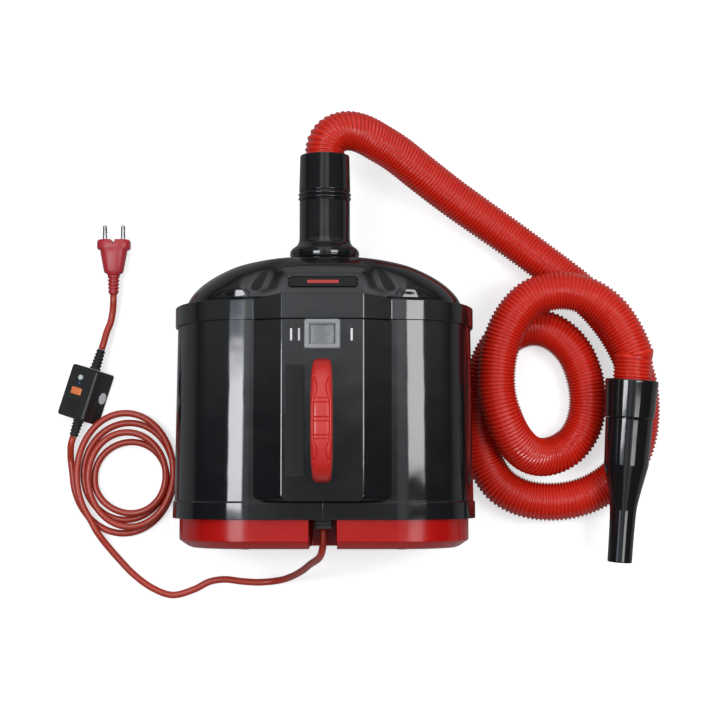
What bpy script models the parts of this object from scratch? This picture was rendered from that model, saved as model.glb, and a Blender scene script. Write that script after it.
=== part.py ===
"""Twin-turbine pet dryer with its hose, nozzle, mains lead, fault-current box and plug.

The dryer lies on its four belly feet. +X is its right side, +Y runs along the body
towards the hose outlet, +Z points up through the handle. All sizes are in metres.
"""

import math

import bmesh
import bpy
from mathutils import Matrix, Vector

# Driving dimensions ---------------------------------------------------------

CLEARANCE = 0.0003          # between pieces that touch or nest
SLIDE_CLEARANCE = 0.0004    # round pieces that are pushed in and out

# Body: two half shells with a proud lower band
BODY_WIDTH = 0.294
BODY_DEPTH = 0.180
BODY_LENGTH = 0.206
BODY_CORNER = 0.078
BODY_DRAFT = 0.003          # each side draws in by this much towards the outlet
BODY_WALL = 0.003
BAND_LENGTH = 0.017
BAND_PROUD = 0.0015
LIP_LENGTH = 0.008

# Dome cap with its rim band
RIM_START = 0.1885          # from the body's lower face
RIM_LENGTH = 0.0225
RIM_PROUD = 0.0025
DOME_RISE = 0.049
DOME_STEP_ACROSS = 0.011    # from the body's outside to the dome's foot
DOME_STEP_UP = 0.006
DOME_WALL = 0.003
DOME_TOP_WIDTH = 0.080
DOME_TOP_DEPTH = 0.072
OUTLET_HOLE_RADIUS = 0.0235

# Raised panel
PANEL_HEIGHT = 0.015
PANEL_FOOT_WIDTH = 0.131
PANEL_TOP_WIDTH = 0.077
PANEL_WALL = 0.0025
PANEL_CORNER = 0.006

# Handle
HANDLE_LENGTH = 0.118
HANDLE_RISE = 0.041
HANDLE_WIDTH = 0.0205
HANDLE_END_WIDTH = 0.0165
HANDLE_THICKNESS = 0.0135
HANDLE_GAP = 0.0052         # between the handle and the switch's boot
SCREW_RADIUS = 0.0020
SCREW_HEAD_RADIUS = 0.0040
SCREW_HEAD_HEIGHT = 0.0025
SCREW_DEPTH = 0.008

# Plates that are left bare
BADGE_WIDTH = 0.066
BADGE_HEIGHT = 0.011
BADGE_THICKNESS = 0.0012
LABEL_WIDTH = 0.0175
LABEL_LENGTH = 0.105
LABEL_THICKNESS = 0.0008
LABEL_OFFSET = 0.0255       # from the middle of the panel to the label's middle
LABEL_SHIFT = 0.002         # the label's middle lies this much below the handle's

# Switch
BOOT_WIDTH = 0.035
BOOT_LENGTH = 0.0295
BOOT_HEIGHT = 0.0105
BOOT_WALL = 0.0012
BOOT_DRAFT = 0.0015
SWITCH_FLANGE_WIDTH = 0.0315
SWITCH_FLANGE_LENGTH = 0.026
SWITCH_FLANGE_THICKNESS = 0.0015
SWITCH_BODY_WIDTH = 0.0285
SWITCH_BODY_LENGTH = 0.0215
SWITCH_BODY_DEPTH = 0.0085
SWITCH_WALL = 0.0014
ROCKER_WIDTH = 0.022
ROCKER_LENGTH = 0.0178
ROCKER_TIP_HEIGHT = 0.0045
ROCKER_MIDDLE_HEIGHT = 0.0020
ROCKER_KEEL = 0.0045
ROCKER_AXIS_HEIGHT = 0.0015  # above the panel's top

# Outlet, hose and nozzle
COLLAR_RADIUS = 0.0343
COLLAR_HEIGHT = 0.018
NECK_RADIUS = 0.0252
NECK_LENGTH = 0.054
NECK_BORE_RADIUS = 0.022
RING_RADIUS = 0.0262
RING_LENGTH = 0.009
CUFF_RADIUS = 0.0255
CUFF_TIP_RADIUS = 0.0246
CUFF_LENGTH = 0.037
CUFF_SOCKET_DEPTH = 0.0345
HOSE_RADIUS = 0.0200
HOSE_VALLEY_RADIUS = 0.0180
HOSE_BORE_RADIUS = 0.0140
HOSE_RIBS = 150
HOSE_BORE_SPACING = 0.016
NOZZLE_CUFF_RADIUS = 0.0268
NOZZLE_CUFF_TIP_RADIUS = 0.0250
NOZZLE_CUFF_LENGTH = 0.0385
NOZZLE_CUFF_SOCKET = 0.016
NOZZLE_LENGTH = 0.146
NOZZLE_RADIUS = 0.0240
NOZZLE_THROAT_RADIUS = 0.0138
NOZZLE_TIP_RADIUS = 0.0124
NOZZLE_WALL = 0.0022
NOZZLE_SPIGOT_LENGTH = 0.012
NOZZLE_SPIGOT_STEP = 0.006  # the spigot is this much wider than the throat
NOZZLE_CUFF_WEB = 0.003     # between the hose's socket and the nozzle's
NOZZLE_FACE = (0.3113, -0.004, 0.067)      # where the hose goes into the nozzle's cuff
NOZZLE_HEADING = (-0.0732, -0.9968, -0.0325)

# End cap
CAP_STEP = 0.00525          # the cap is this much smaller than the body all round
CAP_LENGTH = 0.0283
CAP_STRAIGHT = 0.015
CAP_ROUND = 0.045
CAP_WALL = 0.0025
CAP_ENGAGEMENT = 0.006
NOTCH_WIDTH = 0.027
NOTCH_FLOOR = 0.095         # height above the ground
SLOT_WIDTH = 0.0036
SLOT_PITCH = 0.007
SLOT_LENGTH = 0.068
SLOT_START = 0.024
SLOTS_A_SIDE = 7
FILTER_THICKNESS = 0.014
FILTER_START = -0.013       # from the body's lower face

# Feet
FOOT_HEIGHT = 0.012
FOOT_RADIUS = 0.010
FOOT_SPREAD = 0.060
FOOT_PLACES = (0.030, 0.172)
END_FOOT_RADIUS = 0.006
END_FOOT_HEIGHT = 0.0018
END_FOOT_SPREAD_X = 0.076
END_FOOT_SPREAD_Z = 0.026

# Inside
PLATE_START = 0.026
PLATE_THICKNESS = 0.004
INTAKE_RADIUS = 0.030
MOTOR_GAP = 0.012           # between the two drums
MOTOR_ROOM = 0.014          # between a drum and the shell beside it
DRUM_LENGTH = 0.050
CAN_RADIUS = 0.042
CAN_LENGTH = 0.066
MOTOR_WALL = 0.004
SHAFT_RADIUS = 0.004
ARMATURE_RADIUS = 0.026
ARMATURE_LENGTH = 0.036
COMMUTATOR_RADIUS = 0.013
FAN_ROOM = 0.004            # round the fan in its drum
FAN_DISC = 0.003
FAN_BLADES = 7
BLADE_HEIGHT = 0.012
BLADE_THICKNESS = 0.002
GASKET_THICKNESS = 0.004
GASKET_STEP = 0.004         # from the drum's outside to the gasket's
GASKET_WIDTH = 0.012
BRIDGE_THICKNESS = 0.003
BRIDGE_HOLE_RADIUS = 0.030
TERMINAL_SIZE = (0.026, 0.020, 0.020)
INNER_LEAD_RADIUS = 0.0030
SWITCH_LEAD_RADIUS = 0.0020
SWITCH_LEAD_ROOM = 0.0012   # round it in the shell's hole
SWITCH_LEAD_X = 0.012
SWITCH_LEAD_Y = 0.042

# Mains lead, its gland, fault-current box and plug
CORD_RADIUS = 0.0035
CORD_SPACING = 0.016
SHORT_SPACING = 0.007
GLAND_RISE = 0.048          # above the body's axis
GLAND_SIZE = 0.018
GLAND_REACH = 0.0095        # beyond the body's lower face
BRACKET_WALL = 0.004
COIL_TURNS = 4.125
COIL_LAYER_STEP = 0.0077
COIL_POINTS_A_TURN = 24
BOX_LENGTH = 0.055
BOX_PLACE = (-0.2494, -0.0171)
BOX_HEADING = 17.4          # degrees that its long axis leans from +Y towards +X
BOX_FRONT_LEFT = (-0.0245, 0.0105)
BOX_RIDGE = (0.0055, 0.0283)
BOX_BACK_EDGE = (0.0193, 0.0025)
BOX_BASE_RIGHT = 0.0175
BOX_BASE_LEFT = -0.0160
BOX_FRONT_THICKNESS = 0.012
BOX_BACK_SHORTENED = 0.0115
BOX_AXIS = (-0.0005, 0.014)  # across and up, where the lead goes through
RELIEF_RADIUS = 0.0055
RELIEF_TIP_RADIUS = 0.0045
UPPER_RELIEF_LENGTH = 0.022
LOWER_RELIEF_LENGTH = 0.0175
RELIEF_RIBS = 4
RELIEF_GROOVE = 0.0009
TEST_BUTTON_RADIUS = 0.0028
TEST_BUTTON_PLACE = 0.0155  # along the box from its middle
RESET_BUTTON_WIDTH = 0.0135
RESET_BUTTON_LENGTH = 0.0075
RESET_BUTTON_PLACE = 0.0008
BUTTON_ACROSS = -0.002      # from the middle of the front face
BUTTON_PROUD = 0.0015
BUTTON_STEM = 0.0030
BUTTON_TRAVEL = 0.0012
PLUG_X = -0.2231
PLUG_FACE = 0.1458          # along Y, where the pins leave
PLUG_HEIGHT = 0.0132        # its axis above the ground
PLUG_COLLAR = (0.0350, 0.0260)
PLUG_WAIST = (0.0276, 0.0220)
PLUG_NECK = (0.0195, 0.0160)
PLUG_LENGTH = 0.0375
PIN_RADIUS = 0.0024
PIN_PITCH = 0.019
PIN_LENGTH = 0.0155
PLUG_RELIEF_LENGTH = 0.019
PLUG_RELIEF_RADIUS = 0.0062
PLUG_RELIEF_TIP_RADIUS = 0.0056

# Worked out from the above ----------------------------------------------------

HALF_WIDTH = BODY_WIDTH / 2
HALF_DEPTH = BODY_DEPTH / 2
AXIS_HEIGHT = FOOT_HEIGHT + HALF_DEPTH
TOP_HEIGHT = AXIS_HEIGHT + HALF_DEPTH
PANEL_TOP = TOP_HEIGHT + PANEL_HEIGHT
RIM_END = RIM_START + RIM_LENGTH
DOME_TOP = RIM_END + DOME_RISE
NECK_START = DOME_TOP + CLEARANCE
NECK_END = NECK_START + NECK_LENGTH
CAP_WIDTH = BODY_WIDTH - 2 * CAP_STEP
CAP_DEPTH = BODY_DEPTH - 2 * CAP_STEP
DOME_WIDTH = BODY_WIDTH - 2 * DOME_STEP_ACROSS
DOME_DEPTH = BODY_DEPTH - 2 * DOME_STEP_UP
DRUM_RADIUS = (HALF_WIDTH - BODY_WALL - MOTOR_ROOM - MOTOR_GAP / 2) / 2
MOTOR_SPREAD = DRUM_RADIUS + MOTOR_GAP / 2
FAN_RADIUS = DRUM_RADIUS - MOTOR_WALL - FAN_ROOM
GASKET_OUTER = DRUM_RADIUS - GASKET_STEP
GASKET_INNER = GASKET_OUTER - GASKET_WIDTH
REACH_BACK = CAP_LENGTH + END_FOOT_HEIGHT + CLEARANCE
BODY_Y = REACH_BACK - (REACH_BACK + NECK_END) / 2   # centres the dryer on the origin
SWITCH_MIDDLE = RIM_START - CLEARANCE - BOOT_LENGTH / 2
HANDLE_MIDDLE = SWITCH_MIDDLE - BOOT_LENGTH / 2 - HANDLE_GAP - HANDLE_LENGTH / 2
LABEL_MIDDLE = HANDLE_MIDDLE - LABEL_SHIFT
GLAND_HEIGHT = AXIS_HEIGHT + GLAND_RISE
RING_START = NECK_END + CLEARANCE
CUFF_START = RING_START + RING_LENGTH + CLEARANCE
CUFF_END = CUFF_START + CUFF_LENGTH
HOSE_START_Y = BODY_Y + CUFF_END - CUFF_SOCKET_DEPTH + CLEARANCE
BRIDGE_START = PLATE_START + PLATE_THICKNESS + GASKET_THICKNESS + DRUM_LENGTH + CAN_LENGTH + 3 * CLEARANCE

# Routes, chosen by hand along the real ones -------------------------------------

HOSE_ROUTE = [
    (0.0035, 0.2352, 0.1012), (0.0117, 0.2428, 0.0982), (0.0240, 0.2462, 0.0935), (0.0385, 0.2442, 0.086),
    (0.054, 0.2375, 0.0765), (0.074, 0.227, 0.0655), (0.099, 0.2095, 0.052), (0.130, 0.188, 0.038),
    (0.162, 0.167, 0.0275), (0.196, 0.144, 0.0215), (0.230, 0.119, 0.0203), (0.262, 0.094, 0.0203),
    (0.290, 0.066, 0.0203), (0.311, 0.034, 0.0203), (0.325, -0.004, 0.0203), (0.327, -0.042, 0.0203),
    (0.320, -0.074, 0.0203), (0.305, -0.098, 0.0203), (0.283, -0.115, 0.0203), (0.258, -0.125, 0.0203),
    (0.231, -0.128, 0.0203), (0.204, -0.124, 0.0203), (0.181, -0.111, 0.0203), (0.166, -0.088, 0.0203),
    (0.1595, -0.058, 0.0203), (0.1595, -0.024, 0.0203), (0.166, 0.008, 0.0203), (0.180, 0.035, 0.0203),
    (0.200, 0.050, 0.0203), (0.222, 0.053, 0.0203), (0.243, 0.044, 0.0203), (0.260, 0.025, 0.0203),
    (0.270, -0.002, 0.0203), (0.272, -0.030, 0.0203), (0.265, -0.055, 0.0203), (0.250, -0.073, 0.0208),
    (0.229, -0.0815, 0.0255), (0.209, -0.0785, 0.0360), (0.192, -0.0630, 0.0500), (0.180, -0.039, 0.0600),
    (0.174, -0.010, 0.0622), (0.1765, 0.023, 0.0622), (0.188, 0.055, 0.0622), (0.209, 0.079, 0.0622),
    (0.237, 0.0875, 0.0622), (0.264, 0.083, 0.063), (0.287, 0.068, 0.065), (0.303, 0.046, 0.067),
]
LEAD_ROUTE = [
    (0.000, BODY_Y - GLAND_REACH - 0.014, GLAND_HEIGHT),
    (-0.0018, -0.1750, 0.144), (-0.0045, -0.1804, 0.132), (-0.0088, -0.1845, 0.114), (-0.0142, -0.1888, 0.090),
    (-0.0215, -0.1955, 0.064), (-0.029, -0.201, 0.041), (-0.037, -0.2055, 0.0225), (-0.046, -0.209, 0.0105),
    (-0.058, -0.2112, 0.0048), (-0.072, -0.212, 0.0038), (-0.088, -0.211, 0.0038), (-0.106, -0.209, 0.0038),
    (-0.122, -0.2115, 0.0038), (-0.138, -0.2195, 0.0038), (-0.160, -0.2252, 0.0038), (-0.181, -0.218, 0.0038),
    (-0.2005, -0.204, 0.0038), (-0.2165, -0.1875, 0.0042), (-0.2275, -0.1745, 0.0070),
    (-0.2342, -0.1655, 0.0104),
]
TAIL_ROUTE = [(-0.2668, -0.0740, 0.0103)]
UPPER_ROUTE = [(-0.2300, 0.0490, 0.0120), (-0.2262, 0.0600, 0.0095), (-0.2240, 0.0720, 0.0105)]


def material(name, colour, roughness, metallic=0.0, alpha=1.0):
    """Principled finish for one kind of piece."""
    finish = bpy.data.materials.new(name)
    finish.use_nodes = True
    shader = finish.node_tree.nodes["Principled BSDF"]
    shader.inputs["Base Color"].default_value = (*colour, 1.0)
    shader.inputs["Roughness"].default_value = roughness
    shader.inputs["Metallic"].default_value = metallic
    shader.inputs["Alpha"].default_value = alpha
    return finish


for leftover in list(bpy.data.objects):
    bpy.data.objects.remove(leftover, do_unlink=True)

dryer = bpy.data.collections.new("pet_dryer")
cutters = bpy.data.collections.new("cutters")
bpy.context.scene.collection.children.link(dryer)
bpy.context.scene.collection.children.link(cutters)

GLOSS_BLACK = material("gloss_black_abs", (0.025, 0.026, 0.028), 0.22)
SATIN_BLACK = material("satin_black", (0.030, 0.030, 0.032), 0.5)
CAP_RED = material("cap_red_abs", (0.45, 0.014, 0.012), 0.3)
HANDLE_RED = material("handle_red", (0.62, 0.03, 0.03), 0.35)
HOSE_RED = material("hose_red_vinyl", (0.58, 0.022, 0.010), 0.25)
CORD_RED = material("cord_orange_red", (0.52, 0.055, 0.022), 0.45)
PLUG_RED = material("plug_red", (0.58, 0.05, 0.07), 0.45)
RUBBER = material("black_rubber", (0.02, 0.02, 0.02), 0.8)
CLEAR = material("clear_boot", (0.80, 0.82, 0.83), 0.15, 0.0, 0.4)
SWITCH_GREY = material("switch_grey", (0.35, 0.36, 0.37), 0.4)
STEEL = material("steel", (0.60, 0.60, 0.61), 0.3, 1.0)
ALUMINIUM = material("aluminium", (0.65, 0.65, 0.66), 0.4, 1.0)
FAN_PLASTIC = material("fan_white", (0.75, 0.75, 0.72), 0.5)
FOAM = material("filter_foam", (0.05, 0.05, 0.05), 0.95)
ORANGE = material("button_orange", (0.80, 0.22, 0.05), 0.4)
PALE_GREEN = material("button_pale_green", (0.60, 0.72, 0.66), 0.4)


# Shared ways of making a solid ---------------------------------------------------

def place(name, mesh_edit, finish=None, location=(0, 0, 0), turn=None):
    """Make an object of a bmesh: a piece if it has a finish, and a cutter if not."""
    mesh = bpy.data.meshes.new(name)
    mesh_edit.to_mesh(mesh)
    mesh_edit.free()
    return link(bpy.data.objects.new(name, mesh), finish, location, turn)


def link(item, finish, location=(0, 0, 0), turn=None):
    """Put an object where it belongs, in the dryer or among the cutters."""
    item.location = location
    if turn is not None:
        item.rotation_mode = "QUATERNION"
        item.rotation_quaternion = turn
    if finish is None:
        cutters.objects.link(item)
        item.hide_render = True
        item.display_type = "WIRE"
    else:
        dryer.objects.link(item)
        item.data.materials.append(finish)
    return item


def loft(name, rings, finish=None, closed=False, location=(0, 0, 0), turn=None):
    """Skin through rings of equally many points, capped unless it closes on itself."""
    edit = bmesh.new()
    rows = [[edit.verts.new(point) for point in ring] for ring in rings]
    neighbours = list(zip(rows, rows[1:]))
    if closed:
        neighbours.append((rows[-1], rows[0]))
    for near, far in neighbours:
        for index in range(len(near)):
            after = (index + 1) % len(near)
            edit.faces.new((near[index], near[after], far[after], far[index]))
    if not closed:
        edit.faces.new(rows[0])
        edit.faces.new(rows[-1])
    bmesh.ops.recalc_face_normals(edit, faces=edit.faces)
    return place(name, edit, finish, location, turn)


def block(name, size, centre, finish=None, turn=None):
    """Box of a size about a centre."""
    edit = bmesh.new()
    bmesh.ops.create_cube(edit, size=1.0)
    bmesh.ops.scale(edit, vec=size, verts=edit.verts)
    return place(name, edit, finish, centre, turn)


def turned(name, profile, finish=None, location=(0, 0, 0), axis=(0, 1, 0), steps=24, bored=False):
    """Profile of (radius, height) turned about an axis: down its outer side, and back up a bore."""
    edit = bmesh.new()
    points = [edit.verts.new((radius, 0.0, height)) for radius, height in profile]
    for first, second in zip(points, points[1:]):
        edit.edges.new((first, second))
    if bored:
        edit.edges.new((points[-1], points[0]))
    turn = Vector((0, 0, 1)).rotation_difference(Vector(axis))
    item = place(name, edit, finish, location, turn)
    screw = item.modifiers.new("turn", "SCREW")
    screw.steps = steps
    screw.render_steps = steps
    screw.use_merge_vertices = True
    screw.merge_threshold = 0.00001
    return item


def rod(name, radius, length, base, finish=None, axis=(0, 1, 0), steps=20):
    """Round bar from a base point along an axis."""
    profile = [(0, length), (radius, length), (radius, 0), (0, 0)]
    return turned(name, profile, finish, base, axis, steps)


def cut(item, cutter, operation="DIFFERENCE"):
    """Boolean of a piece with another object."""
    step = item.modifiers.new("cut", "BOOLEAN")
    step.operation = operation
    step.solver = "EXACT"
    step.object = cutter
    return item


def bevel(item, width, segments=2):
    """Round a piece's sharp edges."""
    step = item.modifiers.new("round", "BEVEL")
    step.width = width
    step.segments = segments
    step.limit_method = "ANGLE"
    step.angle_limit = math.radians(40)
    return item


def smooth_route(points, spacing, places=None):
    """Evenly spaced points on the smooth curve through a route's own points."""
    marks = [Vector(point) for point in points]
    marks = [2 * marks[0] - marks[1]] + marks + [2 * marks[-1] - marks[-2]]
    fine = []
    for before, start, end, after in zip(marks, marks[1:], marks[2:], marks[3:]):
        for step in range(20):
            t = step / 20
            fine.append(0.5 * (2 * start + (end - before) * t
                               + (2 * before - 5 * start + 4 * end - after) * t * t
                               + (3 * start - before - 3 * end + after) * t ** 3))
    fine.append(marks[-2])
    travelled = [0.0]
    for first, second in zip(fine, fine[1:]):
        travelled.append(travelled[-1] + (second - first).length)
    count = places or max(2, round(travelled[-1] / spacing) + 1)
    spaced = []
    index = 0
    for place_number in range(count):
        target = travelled[-1] * place_number / (count - 1)
        while index < len(fine) - 2 and travelled[index + 1] < target:
            index += 1
        share = (target - travelled[index]) / (travelled[index + 1] - travelled[index])
        spaced.append(fine[index].lerp(fine[index + 1], share))
    return spaced, travelled[-1]


def tube(name, points, radius, finish=None, radii=None, resolution=2):
    """Round tube along points, capped at both ends."""
    curve = bpy.data.curves.new(name, "CURVE")
    curve.dimensions = "3D"
    curve.bevel_depth = radius
    curve.bevel_resolution = resolution
    curve.use_fill_caps = True
    spline = curve.splines.new("POLY")
    spline.points.add(len(points) - 1)
    for number, (knot, point) in enumerate(zip(spline.points, points)):
        knot.co = (*point, 1.0)
        knot.radius = radii[number] if radii else 1.0
    return link(bpy.data.objects.new(name, curve), finish)


def meshed(item, finish=None):
    """Turn a tube into a mesh with welded caps, so that it can be cut or can cut."""
    bpy.context.view_layer.update()
    graph = bpy.context.evaluated_depsgraph_get()
    mesh = bpy.data.meshes.new_from_object(item.evaluated_get(graph))
    edit = bmesh.new()
    edit.from_mesh(mesh)
    bmesh.ops.remove_doubles(edit, verts=edit.verts, dist=0.00001)
    edit.to_mesh(mesh)
    edit.free()
    name = item.name
    solid = bpy.data.objects.new(name + "_mesh", mesh)
    solid.matrix_world = item.matrix_world
    bpy.data.objects.remove(item, do_unlink=True)
    mesh.materials.clear()
    link(solid, finish)
    solid.name = name
    return solid


def least_gap(points, radius, apart):
    """Smallest space between stretches of one tube that lie some way apart along it."""
    least = math.inf
    for first in range(len(points)):
        for second in range(first + apart, len(points)):
            least = min(least, (points[first] - points[second]).length)
    return least - 2 * radius


# Sections across the body ---------------------------------------------------------

def half_section(half_width, half_depth, corner, bump=0.0):
    """Points (x, z) from the belly's middle round the right side to the top's middle."""
    steps = 5
    points = [(0.0, -half_depth)]
    for start_angle, rise in ((-90, -1), (0, 1)):
        for step in range(steps + 1):
            angle = math.radians(start_angle + 90 * step / steps)
            points.append((half_width - corner + corner * math.cos(angle),
                           rise * (half_depth - corner) + corner * math.sin(angle)))
    foot = min(PANEL_FOOT_WIDTH / 2, 0.95 * (half_width - corner))
    points.append((foot, half_depth))
    points.append((foot * PANEL_TOP_WIDTH / PANEL_FOOT_WIDTH, half_depth + bump))
    points.append((0.0, half_depth + bump))
    return points


def ring_round(half, along):
    """Full ring of points about the body's axis, from its right half."""
    outline = half + [(-x, z) for x, z in reversed(half[1:-1])]
    return [(x, BODY_Y + along, AXIS_HEIGHT + z) for x, z in outline]


def body_half_width(along):
    """Half width of the body's outer face at a place along it."""
    return HALF_WIDTH - BODY_DRAFT * along / BODY_LENGTH


def body_section(along, proud=0.0, bump=0.0):
    """Right half of the body's outer face, moved out by proud."""
    return half_section(body_half_width(along) + proud, HALF_DEPTH + proud, BODY_CORNER + proud, bump)


def cap_section(inset):
    """Right half of the end cap's outer face, moved in by inset."""
    corner = max(BODY_CORNER - (BODY_WIDTH - CAP_WIDTH) / 2 - inset, 0.004)
    return half_section(CAP_WIDTH / 2 - inset, CAP_DEPTH / 2 - inset, corner)


# Body --------------------------------------------------------------------------------

def body_shell(name, side):
    """Half of the body, split down its middle: a tube with a proud band and an inner lip."""
    lip = (BODY_WIDTH - CAP_WIDTH) / 2 - SLIDE_CLEARANCE
    stations = [(0.0, BAND_PROUD, -lip), (LIP_LENGTH, BAND_PROUD, -lip),
                (LIP_LENGTH + 0.003, BAND_PROUD, -BODY_WALL), (BAND_LENGTH - 0.001, BAND_PROUD, -BODY_WALL),
                (BAND_LENGTH, 0.0, -BODY_WALL), (BODY_LENGTH, 0.0, -BODY_WALL)]
    rings = []
    for along, proud, inner in stations:
        outline = body_section(along, proud) + body_section(along, inner)[::-1]
        rings.append([(side * max(x, CLEARANCE / 2), BODY_Y + along, AXIS_HEIGHT + z) for x, z in outline])
    return loft(name, rings, GLOSS_BLACK)


def dome_cap():
    """Outlet cap: a skirt over the shells' ends, a bump in line with the panel, and the dome."""
    skirt = body_half_width(RIM_START) - HALF_WIDTH
    outer = []
    for along, inset in ((RIM_START, 0.0), (RIM_END - 0.002, 0.0), (RIM_END - 0.0005, 0.0012)):
        grow = RIM_PROUD - inset
        half = half_section(HALF_WIDTH + skirt + grow, HALF_DEPTH + grow, BODY_CORNER + grow,
                            PANEL_HEIGHT)
        outer.append(ring_round(half, along))
    inner = []
    steps = 6
    for step in range(steps + 1):
        angle = math.radians(90 * step / steps)
        width = DOME_TOP_WIDTH + (DOME_WIDTH - DOME_TOP_WIDTH) * math.cos(angle)
        depth = DOME_TOP_DEPTH + (DOME_DEPTH - DOME_TOP_DEPTH) * math.cos(angle)
        along = RIM_END + DOME_RISE * math.sin(angle) ** 1.2
        corner = 0.85 * depth / 2
        outer.append(ring_round(half_section(width / 2, depth / 2, corner), along))
        inner.append(ring_round(half_section(width / 2 - DOME_WALL, depth / 2 - DOME_WALL,
                                             corner - DOME_WALL), along - DOME_WALL))
    rim_hole = []
    for along in (DOME_TOP, DOME_TOP - DOME_WALL):
        hole = []
        for x, y, z in outer[-1]:
            offset = Vector((x, z - AXIS_HEIGHT)).normalized() * OUTLET_HOLE_RADIUS
            hole.append((offset.x, BODY_Y + along, AXIS_HEIGHT + offset.y))
        rim_hole.append(hole)
    seat = []
    for along in (BODY_LENGTH + CLEARANCE, RIM_START):
        half = half_section(HALF_WIDTH + skirt + CLEARANCE, HALF_DEPTH + CLEARANCE,
                            BODY_CORNER + CLEARANCE, PANEL_HEIGHT - DOME_WALL)
        seat.append(ring_round(half, along))
    cap = loft("dome_cap", outer + rim_hole + inner[::-1] + seat, GLOSS_BLACK, closed=True)
    pocket = block("badge_pocket", (BADGE_WIDTH, BADGE_HEIGHT, 2 * BADGE_THICKNESS), badge_centre(),
                   turn=badge_turn())
    cut(cap, pocket)
    size = (BADGE_WIDTH - 2 * CLEARANCE, BADGE_HEIGHT - 2 * CLEARANCE, BADGE_THICKNESS - CLEARANCE)
    sunk = badge_turn() @ Vector((0, 0, BADGE_THICKNESS / 2))
    block("badge_plate", size, badge_centre() - sunk, CAP_RED, badge_turn())


def badge_angle():
    """Angle round the dome's curve at which the badge sits."""
    return math.radians(22)


def badge_centre():
    """Middle of the badge's pocket, on the dome's upper slope."""
    angle = badge_angle()
    depth = DOME_TOP_DEPTH + (DOME_DEPTH - DOME_TOP_DEPTH) * math.cos(angle)
    along = RIM_END + DOME_RISE * math.sin(angle) ** 1.2
    return Vector((0.0, BODY_Y + along, AXIS_HEIGHT + depth / 2))


def badge_turn():
    """Turn that lays the badge flat on the dome's slope."""
    low, high = badge_angle() - 0.1, badge_angle() + 0.1
    fall = (DOME_DEPTH - DOME_TOP_DEPTH) / 2 * (math.cos(low) - math.cos(high))
    run = DOME_RISE * (math.sin(high) ** 1.2 - math.sin(low) ** 1.2)
    return Matrix.Rotation(-math.atan2(fall, run), 4, "X").to_quaternion()


def panel_ring(half_width, start, end, height, corner):
    """Ring of the panel's outline at a height, with two round corners at its lower end."""
    points = [(half_width, end), (-half_width, end)]
    for sign in (-1, 1):
        for step in range(5):
            angle = math.radians(22.5 * (step if sign < 0 else 4 - step))
            points.append((sign * (half_width - corner + corner * math.cos(angle)),
                           start + corner - corner * math.sin(angle)))
    return [(x, BODY_Y + y, height) for x, y in points]


def panel_cover():
    """Raised cover over the seam: a hollow frustum that carries the switch and the handle."""
    start, end = BAND_LENGTH + CLEARANCE, RIM_START - CLEARANCE
    foot, top = TOP_HEIGHT + CLEARANCE, PANEL_TOP
    rings = [panel_ring(PANEL_FOOT_WIDTH / 2, start, end, foot, PANEL_CORNER),
             panel_ring(PANEL_TOP_WIDTH / 2, start, end, top, PANEL_CORNER)]
    cover = loft("panel_cover", rings, GLOSS_BLACK)
    slope = (PANEL_FOOT_WIDTH - PANEL_TOP_WIDTH) / 2 / PANEL_HEIGHT
    below = 0.002
    inner_foot = PANEL_FOOT_WIDTH / 2 - 2.2 * PANEL_WALL + slope * below
    inner_top = PANEL_TOP_WIDTH / 2 - 2.2 * PANEL_WALL + slope * PANEL_WALL
    hollow = loft("panel_hollow", [
        panel_ring(inner_foot, start + PANEL_WALL, end - PANEL_WALL, foot - below, PANEL_CORNER),
        panel_ring(inner_top, start + PANEL_WALL, end - PANEL_WALL, top - PANEL_WALL, PANEL_CORNER)])
    cut(cover, hollow)
    opening = block("switch_opening",
                    (SWITCH_BODY_WIDTH + 2 * CLEARANCE, SWITCH_BODY_LENGTH + 2 * CLEARANCE, 4 * PANEL_WALL),
                    (0, BODY_Y + SWITCH_MIDDLE, PANEL_TOP))
    cut(cover, opening)
    for name, middle in handle_ends():
        hole = rod(name + "_hole", SCREW_RADIUS + CLEARANCE, 4 * PANEL_WALL,
                   (0, middle, PANEL_TOP - 2 * PANEL_WALL), axis=(0, 0, 1), steps=16)
        cut(cover, hole)
    block("label_plate", (LABEL_WIDTH, LABEL_LENGTH, LABEL_THICKNESS),
          (-LABEL_OFFSET, BODY_Y + LABEL_MIDDLE, PANEL_TOP + CLEARANCE + LABEL_THICKNESS / 2), SATIN_BLACK)


# Handle -----------------------------------------------------------------------------------

def handle_ends():
    """Names and places along Y of the handle's two feet."""
    reach = HANDLE_LENGTH / 2 - HANDLE_THICKNESS / 2
    middle = BODY_Y + HANDLE_MIDDLE
    return (("back", middle - reach), ("front", middle + reach))


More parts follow.
